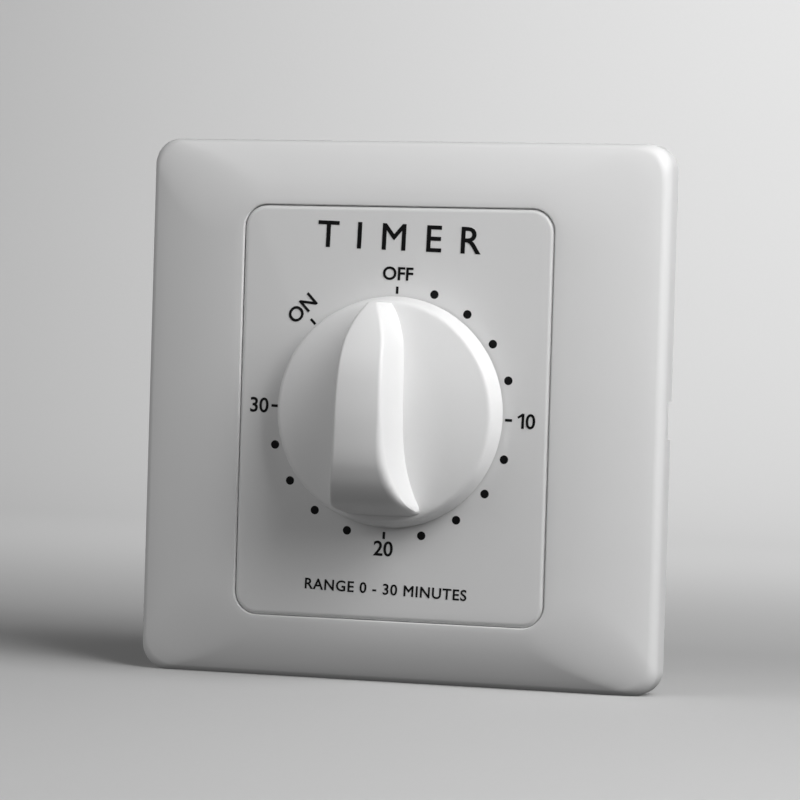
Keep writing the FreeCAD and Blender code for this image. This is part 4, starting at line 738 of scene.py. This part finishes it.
@dataclass
class CoverPlate(SubAssembly):
    """The outer plate: straight sides, a band that swells up to the opening, and a lip inside."""

    size: float = 86.0
    corner: float = 4.0
    side: float = 5.1
    face: float = 8.7
    swell: float = 0.7
    edge: float = 1.8
    wall: float = 2.0
    inner_corner: float = 2.5
    opening: tuple[float, float] = (51.3, 65.5)
    opening_corner: float = 3.7
    opening_edge: float = 0.25
    opening_drop: float = 0.3
    corner_swell: float = 5.0
    corner_steps: int = 12
    lip_wall: float = 1.4
    lip_back: float = 5.5
    well_floor: float = -5.0
    notch: tuple[float, float] = (6.0, 2.0)
    notch_round: float = 0.3
    bands: int = 10

    def band_outline(self, work: Workpiece, share: float) -> int:
        """Adds the band's outline a share of the way from the sides to the opening.

        Args:
            work: The piece being made.
            share: 0 at the sides and 1 at the opening.

        Returns:
            The outline's number.
        """
        bulge = 4 * share * (1 - share)
        rise = self.side + (self.face - self.side) * share + self.swell * bulge
        width, height = (self.size + (side - self.size) * share for side in self.opening)
        corner = self.corner + (self.opening_corner - self.corner) * share
        corner += self.corner_swell * bulge
        drop = self.opening_drop * share
        return work.plate_outline(-rise, width, height, corner, self.corner_steps, drop)

    def hollow_tool(self) -> bpy.types.Object:
        """The block that hollows the plate from behind and leaves the lip round the opening."""
        steps, drop = self.corner_steps, self.opening_drop
        width = self.size - 2 * self.wall
        inner = (width, width, self.inner_corner, steps)
        sides = (side + 2 * self.lip_wall for side in self.opening)
        lip = (*sides, self.opening_corner + self.lip_wall, steps, drop)
        work = Workpiece("hollow_tool")
        work.enclose([
            work.plate_outline(OVERCUT, *inner),
            work.plate_outline(self.wall - self.side, *inner),
            work.plate_outline(self.wall - self.face, *lip),
        ])
        tool = work.lift_off()
        work = Workpiece("lip_room_tool")
        work.enclose([work.plate_outline(level, *lip) for level in (-self.lip_back, -self.face)])
        carve(tool, work.lift_off())
        return tool

    def build(self) -> None:
        """Builds the plate, hollows it and cuts its pry notch."""
        work = Workpiece("cover_shell")
        steps = self.corner_steps
        foot = work.plate_outline(0.0, self.size, self.size, self.corner, steps)
        band = [self.band_outline(work, 0.0)]
        band += [self.band_outline(work, i / self.bands) for i in range(2, self.bands + 1)]
        well = (*self.opening, self.opening_corner, steps, self.opening_drop)
        work.enclose([foot, *band, work.plate_outline(self.well_floor, *well)])
        work.soften(band[0], self.edge, 6)
        work.soften(band[-1], self.opening_edge, 4)
        shell = work.lift_off()
        carve(shell, self.hollow_tool())
        carve(shell, self.notch_tool())
        settle(shell, Stock.COVER_PLASTIC, "housing", angle=24.0)
        stand_for(shell, "cover_plate")

    def notch_tool(self) -> bpy.types.Object:
        """The block that cuts the notch in the right side, where a blade pries the plate off."""
        length, depth = self.notch
        clear_bench()
        middle = (self.size / 2 * MM, (OVERCUT - depth) / 2 * MM, 0.0)
        size = (3 * self.wall * MM, (depth + OVERCUT) * MM, length * MM)
        bpy.ops.mesh.primitive_cube_add(size=1.0, location=middle)
        tool = bpy.context.object
        bpy.ops.transform.resize(value=size)
        bpy.ops.object.mode_set(mode="EDIT")
        bpy.ops.mesh.bevel(offset=self.notch_round * MM, segments=3, affect="EDGES")
        bpy.ops.object.mode_set(mode="OBJECT")
        return tool


@dataclass
class DialPanel(SubAssembly):
    """The flat panel with its printed dial, held by two sunk screws under the knob."""

    width: float = 51.2
    height: float = 65.4
    corner: float = 3.65
    drop: float = 0.3
    front: float = -8.7
    back: float = -6.5
    edge: float = 0.8
    hole: float = 3.6
    screw_offset: float = 10.5
    screw_bore: float = 1.48
    screw_seat: float = 2.83
    seat_level: float = -7.0
    rim: float = 1.6
    rim_depth: float = 1.0
    boss: float = 3.4
    boss_end: float = -3.4

    def block(self, name: str, front: float, back: float, inset: float = 0.0) -> Workpiece:
        """A closed block with the panel's outline.

        Args:
            name: Its name.
            front: The level of its front.
            back: The level of its back.
            inset: How far its sides stand inside the panel's.

        Returns:
            The block, still on the bench. Its front is outline 0.
        """
        work = Workpiece(name)
        size = (self.width - 2 * inset, self.height - 2 * inset, self.corner - inset)
        work.enclose([work.plate_outline(level, *size, drop=self.drop) for level in (front, back)])
        return work

    def build(self) -> None:
        """Builds the panel, hollows its back, adds its bosses and bores it."""
        rim_back = self.back + self.rim_depth
        work = self.block("dial_panel", self.front, rim_back)
        work.soften(0, self.edge, 6)
        panel = work.lift_off()
        hollow = self.block("panel_hollow_tool", self.back, rim_back + OVERCUT, self.rim)
        carve(panel, hollow.lift_off())
        for axis in (-self.screw_offset, self.screw_offset):
            boss = ((self.boss, self.back - OVERCUT / 2), (self.boss, self.boss_end))
            carve(panel, pin("panel_boss_tool", boss, axis), Carving.JOIN)
            seat = (
                (self.screw_seat, self.front - OVERCUT),
                (self.screw_seat, self.seat_level),
                (self.screw_bore, self.seat_level),
                (self.screw_bore, self.boss_end + OVERCUT),
            )
            carve(panel, pin("screw_seat_tool", seat, axis))
        hole = ((self.hole, self.front - OVERCUT), (self.hole, self.back + OVERCUT))
        carve(panel, pin("arbor_hole_tool", hole))
        settle(panel, Stock.PANEL_PLASTIC, "housing")
        stand_for(panel, "centre_panel")


@dataclass
class DialPrint(SubAssembly):
    """The print on the panel: dots and ticks round the knob, numbers, and words at the stops."""

    level: float = -8.7
    thick: float = 0.02
    centre: tuple[float, float] = (-0.27, -0.14)
    ring: float = 19.97
    turn: float = 1.5
    minutes: int = 30
    degrees_a_minute: float = 9.0
    dot: float = 0.68
    tick: tuple[float, float] = (0.43, 1.15)
    tick_corner: float = 0.08
    tick_ring: float = 19.38
    figure: float = 3.3
    flag: tuple[float, float] = (1.05, 0.36)
    flag_overlap: float = 0.3
    flag_slant: float = 34.0

    def place(self, minute: float, radius: float) -> tuple[float, float]:
        """Where a mark lies on the panel.

        Args:
            minute: Its minute on the dial.
            radius: Its distance from the dial's centre.

        Returns:
            Its place on X and Z.
        """
        angle = math.radians(minute * self.degrees_a_minute + self.turn)
        x, z = self.centre
        return (x + radius * math.sin(angle), z + radius * math.cos(angle))

    def raise_print(self) -> None:
        """Gives the selected flat faces the thickness of the ink."""
        move = {"value": (0.0, -self.thick * MM, 0.0)}
        bpy.ops.mesh.extrude_region_move(TRANSFORM_OT_translate=move)

    def dots(self) -> None:
        """Prints one dot and copies it to every second minute that has no number."""
        clear_bench()
        x, z = self.place(2, self.ring)
        bpy.ops.mesh.primitive_circle_add(
            vertices=ROUND_STEPS, radius=self.dot * MM, fill_type="NGON",
            location=(x * MM, self.level * MM, z * MM), rotation=FACING,
        )
        dots = {2: bpy.context.object}
        bpy.ops.object.mode_set(mode="EDIT")
        self.raise_print()
        bpy.ops.object.mode_set(mode="OBJECT")
        for minute in (minute for minute in range(4, self.minutes, 2) if minute % 10):
            take_up(dots[2])
            bpy.ops.object.duplicate()
            dots[minute] = bpy.context.object
            place = self.place(minute, self.ring)
            bpy.ops.transform.translate(value=((place[0] - x) * MM, 0.0, (place[1] - z) * MM))
        for minute, dot in dots.items():
            dot.name = f"dial_dot_{minute}"
            dot.data.name = dot.name
            settle(dot, Stock.DIAL_INK, "housing")

    def ticks(self) -> None:
        """Prints a short tick at each number and at the stop before zero, which counts as 35."""
        for minute in (-5, 0, 10, 20, 30):
            x, z = self.place(minute, self.tick_ring)
            spot = (x * MM, self.level * MM, z * MM)
            work = Workpiece(f"dial_tick_{minute % 40}")
            add_sheet(spot, *self.tick)
            bpy.ops.mesh.bevel(offset=self.tick_corner * MM, segments=3, affect="VERTICES")
            turn = math.radians(minute * self.degrees_a_minute + self.turn)
            bpy.ops.transform.rotate(value=-turn, orient_axis="Y", center_override=spot)
            self.raise_print()
            settle(work.lift_off(), Stock.DIAL_INK, "housing")

    def add_flag(self, left: float, top: float) -> None:
        """Adds the slanted stroke at the head of a figure one, to the mesh in edit mode.

        Args:
            left: The stem's left edge, in metres.
            top: The stem's top, in metres.
        """
        length, width = self.flag
        slant = math.radians(self.flag_slant)
        spot = (
            left - (length / 2 - self.flag_overlap) * math.cos(slant) * MM,
            self.thick / 2 * MM,
            top - (length / 2 * math.sin(slant) + width / 3) * MM,
        )
        add_sheet(spot, length, width)
        bpy.ops.transform.rotate(value=slant, orient_axis="Y", center_override=spot)
        self.raise_print()

    def word(self, name: str, text: str, height: float, spot: tuple[float, float],
             weight: float, spacing: float = 1.0, turn: float = 0.0) -> None:
        """Prints a word or a number, centred on a spot.

        Args:
            name: The piece's name.
            text: What it says.
            height: The font's size.
            spot: Its centre on X and Z.
            weight: How much its strokes are thickened.
            spacing: The spacing of its letters, as a share of the usual one.
            turn: How far it is turned clockwise from the rest of the print.
        """
        clear_bench()
        bpy.ops.object.text_add(rotation=FACING)
        mark = bpy.context.object
        mark.name = name
        letters = mark.data
        letters.body = text
        letters.size = height * MM
        letters.align_x = "CENTER"
        letters.align_y = "CENTER"
        letters.space_character = spacing
        letters.extrude = self.thick / 2 * MM
        letters.bevel_depth = weight * MM
        letters.bevel_resolution = 1
        letters.resolution_u = 4
        bpy.ops.object.convert(target="MESH")
        mark = bpy.context.object
        mark.data.name = name
        bpy.ops.object.transform_apply(location=True, rotation=True, scale=True)
        (left, right), _, (bottom, top) = extent(mark)
        bpy.ops.object.mode_set(mode="EDIT")
        if text.startswith("1"):
            self.add_flag(left, top)
        bpy.ops.mesh.select_all(action="SELECT")
        x, y, z = centre = (spot[0] * MM, (self.level - self.thick / 2) * MM, spot[1] * MM)
        bpy.ops.transform.translate(value=(x - (left + right) / 2, y, z - (bottom + top) / 2))
        angle = -math.radians(self.turn + turn)
        bpy.ops.transform.rotate(value=angle, orient_axis="Y", center_override=centre)
        bpy.ops.object.mode_set(mode="OBJECT")
        settle(mark, Stock.DIAL_INK, "housing")

    def build(self) -> None:
        """Prints the whole dial."""
        self.dots()
        self.ticks()
        for minute, radius, spacing in ((10, 22.6, 0.75), (20, 21.45, 1.0), (30, 22.0, 1.0)):
            name, spot = f"dial_number_{minute}", self.place(minute, radius)
            self.word(name, str(minute), self.figure, spot, 0.05, spacing)
        self.word("dial_off", "OFF", 2.9, self.place(0, 22.0), 0.06)
        self.word("dial_on", "ON", 3.3, self.place(-5, 22.2), 0.06, 1.05, -45.0)
        self.word("dial_title", "TIMER", 6.0, (0.3, 27.6), 0.05, 1.88)
        self.word("dial_range", "RANGE 0 - 30 MINUTES", 2.4, (-0.3, -28.0), 0.04, 1.1)


@dataclass
class PointerKnob(SubAssembly):
    """The knob: a domed skirt, and a tall pointer across it that widens towards its tail."""

    back: float = -9.1
    side: float = -12.5
    dome: float = -15.9
    rim: float = 18.25
    top: float = 17.75
    edge: float = 1.0
    wall: float = 1.8
    thick_wall: float = 2.88
    hub: float = 4.8
    bore: float = 3.03
    bore_depth: float = 11.8
    face: float = -8.7
    root: float = -13.2
    blade_height: float = 18.0
    blade_tip: float = 17.15
    blade_tail: float = 15.6
    ridge_tail: float = 15.9
    crest_end: tuple[float, float, float] = (14.4, 16.1, 3.0)
    foot_end: tuple[float, float, float] = (15.0, 16.4, 3.0)
    blade_waist: float = 3.9
    blade_draft: float = 0.1
    crest_round: tuple[float, float] = (0.7, 1.9)
    round_share: float = 0.45
    tip_width: float = 0.15
    steps: int = 160
    stations: int = 56
    tail_stations: int = 28
    flanks: Plan = (
        (1.0, 0.20), (0.95, 0.35), (0.88, 0.52), (0.78, 0.70), (0.67, 0.84), (0.48, 0.93),
        (0.25, 0.975), (0.0, 1.0), (-0.277, 1.04), (-0.47, 1.11), (-0.60, 1.20), (-0.73, 1.33),
        (-0.85, 1.48), (-0.92, 1.59), (-1.0, 1.68),
    )
    crest: Plan = (
        (1.07, 0.56), (1.0, 0.64), (0.90, 0.733), (0.78, 0.81), (0.64, 0.88), (0.48, 0.942),
        (0.29, 0.98), (0.0, 1.0), (-0.30, 0.985), (-0.48, 0.955), (-0.60, 0.91), (-0.70, 0.855),
        (-0.80, 0.77), (-0.88, 0.67), (-0.93, 0.56), (-0.97, 0.43), (-1.0, 0.34), (-1.03, 0.24),
    )
    kept: ClassVar[Kept] = {
        Stock.SPRING_STEEL: ("knob_spring_clip",),
    }

    def skirt(self) -> bpy.types.Object:
        """The round part: hollow behind, with a softened rim and a shallow dome."""
        work = Workpiece("knob_body")
        rise = self.side - self.edge - self.dome
        turns = [
            (self.hub, self.back),
            (self.hub, self.dome + self.thick_wall),
            (self.rim - self.thick_wall, self.side + self.wall / 2),
            (self.rim - self.wall, self.back),
            (self.rim, self.back),
            (self.top, self.side),
        ]
        for turn in (22.5, 45.0, 67.5):
            sink = self.edge * (1 - math.cos(math.radians(turn)))
            turns.append((self.top - sink, self.side - self.edge * math.sin(math.radians(turn))))
        crown = self.top - self.edge
        for share in (1.0, 0.9, 0.8, 0.65, 0.5, 0.35, 0.2, 0.08):
            turns.append((crown * share, self.dome + rise * share**2))
        hub_end, apex = work.turned(turns, self.steps)
        work.choose_outlines(apex)
        bpy.ops.mesh.merge(type="CENTER")
        work.cap(hub_end)
        return work.lift_off()

    @staticmethod
    def end_share(place: float, end: tuple[float, float, float]) -> float:
        """How much of its width the pointer keeps in its rounded tail.

        Args:
            place: The place on Z.
            end: Where the rounding starts and ends below the axis, and how square it is.

        Returns:
            1 before the tail, falling to 0 at its end.
        """
        start, finish, power = end
        share = min(max((-place - start) / (finish - start), 0.0), 1.0)
        return (1 - share**power) ** (1 / power)

    @staticmethod
    def choose_corners(work: Workpiece, middle: tuple[float, float, float], *sides: int) -> None:
        """Selects a new section's corners at the crest.

        Args:
            work: The piece being made.
            middle: The section's middle.
            *sides: -1 for the left corner and 1 for the right one.
        """
        shape = bmesh.from_edit_mesh(work.piece.data)
        for point in shape.verts:
            beside = any(point.co.x * side > 0 for side in sides)
            level = abs(point.co.z - middle[2]) < NEAR
            point.select_set(beside and level and point.co.y < middle[1])
        shape.select_flush_mode()
        bmesh.update_edit_mesh(work.piece.data)

    def station(self, work: Workpiece, place: float) -> int:
        """Adds the pointer's section at one place. Its right corner turns blunt at the tail.

        Args:
            work: The piece being made.
            place: The section's place on Z.

        Returns:
            The outline's number.
        """
        foot = self.root
        reach = self.blade_tip if place > 0 else self.ridge_tail
        head = self.face - self.blade_height * flowing(self.crest, place / reach)
        end = self.blade_tip if place > 0 else self.blade_tail
        width = self.blade_waist * flowing(self.flanks, place / end)
        lean = self.blade_draft * (head - self.face + self.blade_height) / self.blade_height
        low = max((width + self.blade_draft) * self.end_share(place, self.foot_end), self.tip_width)
        high = max((width + lean) * self.end_share(place, self.crest_end), self.tip_width)
        middle = (0.0, (foot + head) / 2 * MM, place * MM)
        size = (2 * low * MM, (foot - head) * MM, 1.0)
        select_none()
        bpy.ops.mesh.primitive_plane_add(size=1.0, location=middle)
        bpy.ops.transform.resize(value=size, center_override=middle)
        self.choose_corners(work, middle, -1, 1)
        bpy.ops.transform.resize(value=(high / low, 1.0, 1.0), center_override=middle)
        sharp, blunt = self.crest_round
        blunt = sharp + (blunt - sharp) * min(max(-place / self.blade_tail, 0.0), 1.0)
        most = self.round_share * min(high, foot - head)
        for side, radius in ((1, blunt), (-1, sharp)):
            self.choose_corners(work, middle, side)
            offset = min(radius, most) * MM
            bpy.ops.mesh.bevel(offset=offset, segments=5, affect="VERTICES")
        bpy.ops.mesh.select_linked()
        return work.open_outline()

    def pointer(self) -> bpy.types.Object:
        """The tall pointer, bridged from one section to the next, closer together at the tail."""
        work = Workpiece("knob_pointer")
        first, last = self.blade_tip, -self.crest_end[0]
        places = [first + (last - first) * i / self.stations for i in range(self.stations)]
        beyond = self.foot_end[1] - self.crest_end[0]
        for i in range(self.tail_stations + 1):
            places.append(last - beyond * math.sin(math.radians(90 * i / self.tail_stations)))
        work.enclose([self.station(work, place) for place in places])
        return work.lift_off()

    def build(self) -> None:
        """Joins the pointer to the skirt and bores the hub."""
        knob = self.skirt()
        carve(knob, self.pointer(), Carving.JOIN)
        bore = ((self.bore, self.back + OVERCUT), (self.bore, self.back - self.bore_depth))
        carve(knob, pin("knob_bore_tool", bore))
        settle(knob, Stock.KNOB_PLASTIC, "knob_assembly", angle=28.0)
        stand_for(knob, "knob")


@dataclass
class MountingFrame(SubAssembly):
    """The frame against the wall and the screws that hold the housing to it."""

    kept: ClassVar[Kept] = {
        Stock.FRAME_PLASTIC: ("mounting_frame",),
        Stock.ZINC_STEEL: ("housing_screws", "panel_screws"),
    }


@dataclass
class RearHousing(SubAssembly):
    """The box behind the wall, its back with the switch, and the screws that close it."""

    kept: ClassVar[Kept] = {
        Stock.HOUSING_PLASTIC: ("rear_housing",),
        Stock.BASE_PLASTIC: ("contact_base",),
        Stock.ZINC_STEEL: ("back_cover_screws", "movement_screws"),
    }


@dataclass
class SwitchContacts(SubAssembly):
    """The terminals, the leaves and their contacts."""

    kept: ClassVar[Kept] = {
        Stock.CONTACT_BRASS: ("line_terminal", "load_terminal", "leaf_rivets"),
        Stock.LEAF_BRONZE: ("moving_contact_leaf", "fixed_contact_leaf"),
        Stock.CONTACT_SILVER: ("moving_contact", "fixed_contact"),
        Stock.ZINC_STEEL: ("terminal_screws", "terminal_washers"),
    }


@dataclass
class Clockwork(SubAssembly):
    """The movement: plates, mainspring, train, clutch, escapement and the cam on the main arbor."""

    kept: ClassVar[Kept] = {
        Stock.PLATE_STEEL: ("front_movement_plate", "rear_movement_plate", "stop_disc"),
        Stock.TURNED_STEEL: (
            "plate_pillars", "spring_post", "stop_pin", "main_arbor", "intermediate_arbor",
            "third_arbor", "escape_arbor", "pallet_arbor", "pallet_pins", "balance_weights",
        ),
        Stock.SPRING_STEEL: ("mainspring", "arbor_retaining_ring", "clutch_spring"),
        Stock.WHEEL_BRASS: (
            "great_wheel", "great_wheel_hub", "second_wheel", "third_wheel", "escape_wheel",
            "front_arbor_bush", "rear_arbor_bush", "spring_collar", "arbor_spacer", "clutch_collar",
            "pallet_lever", "balance_bar",
        ),
        Stock.CAM_PLASTIC: ("switch_cam",),
        Stock.ZINC_STEEL: ("pillar_screws",),
    }


# The studio

@dataclass
class Studio:
    """The pale floor that sweeps up behind the part, the lights and the camera."""

    picture: int = 800
    focal: float = 3588.0
    sensor: float = 36.0
    azimuth: float = 17.58
    elevation: float = 0.89
    roll: float = 1.69
    distance: float = 574.6
    target: tuple[float, float, float] = (-1.52, 0.0, 1.81)
    floor_level: float = -43.0
    floor_front: float = -900.0
    floor_back: float = 450.0
    floor_half_width: float = 1600.0
    sweep: float = 350.0
    sweep_steps: int = 12
    wall_height: float = 1400.0
    air: float = 0.085

    def camera(self) -> None:
        """Stands the camera at the photo's viewing angle."""
        angles = (self.azimuth, self.elevation, self.roll)
        azimuth, elevation, roll = (math.radians(angle) for angle in angles)
        back = Vector((
            math.sin(azimuth) * math.cos(elevation),
            -math.cos(azimuth) * math.cos(elevation),
            math.sin(elevation),
        ))
        level = (-back).cross(Vector((0.0, 0.0, 1.0))).normalized()
        upright = level.cross(-back)
        right = math.cos(roll) * level + math.sin(roll) * upright
        up = math.cos(roll) * upright - math.sin(roll) * level
        place = (Vector(self.target) + back * self.distance) * MM
        bpy.ops.object.camera_add()
        camera = bpy.context.object
        camera.name = "camera"
        camera.data.sensor_width = self.sensor
        camera.data.lens = self.focal / self.picture * self.sensor
        camera.data.clip_start = 0.01
        turn = Matrix((right, up, back)).transposed().to_4x4()
        camera.matrix_world = Matrix.Translation(place) @ turn
        bpy.context.scene.camera = camera

    def floor(self) -> None:
        """Lays the floor and sweeps it up behind the part."""
        clear_bench()
        middle = (0.0, (self.floor_front + self.floor_back) / 2 * MM, self.floor_level * MM)
        bpy.ops.mesh.primitive_plane_add(size=1.0, location=middle)
        sheet = bpy.context.object
        sheet.name = "pale_floor"
        bpy.ops.object.mode_set(mode="EDIT")
        size = (2 * self.floor_half_width * MM, (self.floor_back - self.floor_front) * MM, 1.0)
        bpy.ops.transform.resize(value=size, center_override=middle)
        select_none(edges=True)
        for edge in bmesh.from_edit_mesh(sheet.data).edges:
            edge.select_set(all(end.co.y > 0 for end in edge.verts))
        bmesh.update_edit_mesh(sheet.data)
        step = self.sweep * math.pi / 2 / self.sweep_steps
        turns = (math.pi / 2 * (i + 0.5) / self.sweep_steps for i in range(self.sweep_steps))
        strips = [(step * math.cos(turn), step * math.sin(turn)) for turn in turns]
        for along, up in (*strips, (0.0, self.wall_height)):
            move = {"value": (0.0, along * MM, up * MM)}
            bpy.ops.mesh.extrude_region_move(TRANSFORM_OT_translate=move)
        bpy.ops.mesh.select_all(action="SELECT")
        bpy.ops.mesh.normals_make_consistent(inside=False)
        bpy.ops.object.mode_set(mode="OBJECT")
        bpy.ops.object.shade_smooth()
        bpy.ops.object.transform_apply(location=True, rotation=True, scale=True)
        sheet.data.materials.append(Stock.PALE_PAPER.value.material())
        sheet.visible_diffuse = False
        sheet.visible_glossy = False

    def lamp(self, name: str, towards: tuple, away: float, size: float, power: float,
             aim: tuple = (0.0, 0.0, 0.0)) -> None:
        """Hangs a square soft light.

        Args:
            name: The light's name.
            towards: The direction from its aim to the light.
            away: Its distance from its aim, in millimetres.
            size: Its side, in millimetres.
            power: Its power, in watts.
            aim: The place that it faces, in millimetres. The part stands at the origin.
        """
        direction = Vector(towards).normalized()
        bpy.ops.object.light_add(type="AREA", location=(Vector(aim) + direction * away) * MM)
        light = bpy.context.object
        light.name = name
        light.rotation_euler = direction.to_track_quat("Z", "Y").to_euler()
        light.data.shape = "SQUARE"
        light.data.size = size * MM
        light.data.energy = power

    def lights(self) -> None:
        """Hangs three soft lights on the right, a wide one on the left and one for the backdrop."""
        self.lamp("key_light", (0.75, -0.42, 0.52), 600.0, 400.0, 2.0)
        self.lamp("top_light", (0.6, -0.35, 0.7), 350.0, 250.0, 0.55)
        self.lamp("side_light", (1.0, -0.14, 0.1), 900.0, 500.0, 1.25)
        self.lamp("left_fill", (-0.8, -0.6, 0.3), 900.0, 700.0, 1.95)
        self.lamp("backdrop_light", (0.0, -0.93, 0.37), 540.0, 400.0, 4.0, (0.0, 800.0, 300.0))
        world = bpy.data.worlds.new("studio_air")
        world.use_nodes = True
        glow = world.node_tree.nodes["Background"].inputs
        glow["Color"].default_value = (1.0, 1.0, 1.0, 1.0)
        glow["Strength"].default_value = self.air
        bpy.context.scene.world = world
        bpy.context.scene.view_settings.view_transform = "Standard"

    def finish(self) -> None:
        """Sets up the whole studio."""
        clear_bench()
        self.camera()
        self.floor()
        self.lights()
        log.info("set up the studio")


def main() -> None:
    """Builds every group in order, then the studio around them."""
    logging.basicConfig(level=logging.INFO, format="%(name)s: %(message)s")
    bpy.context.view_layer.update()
    groups = (
        CoverPlate(), DialPanel(), DialPrint(), PointerKnob(),
        MountingFrame(), RearHousing(), SwitchContacts(), Clockwork(),
    )
    for group in groups:
        group.finish()
        log.info("finished %s", type(group).__name__)
    Studio().finish()


if __name__ == "__main__":
    main()
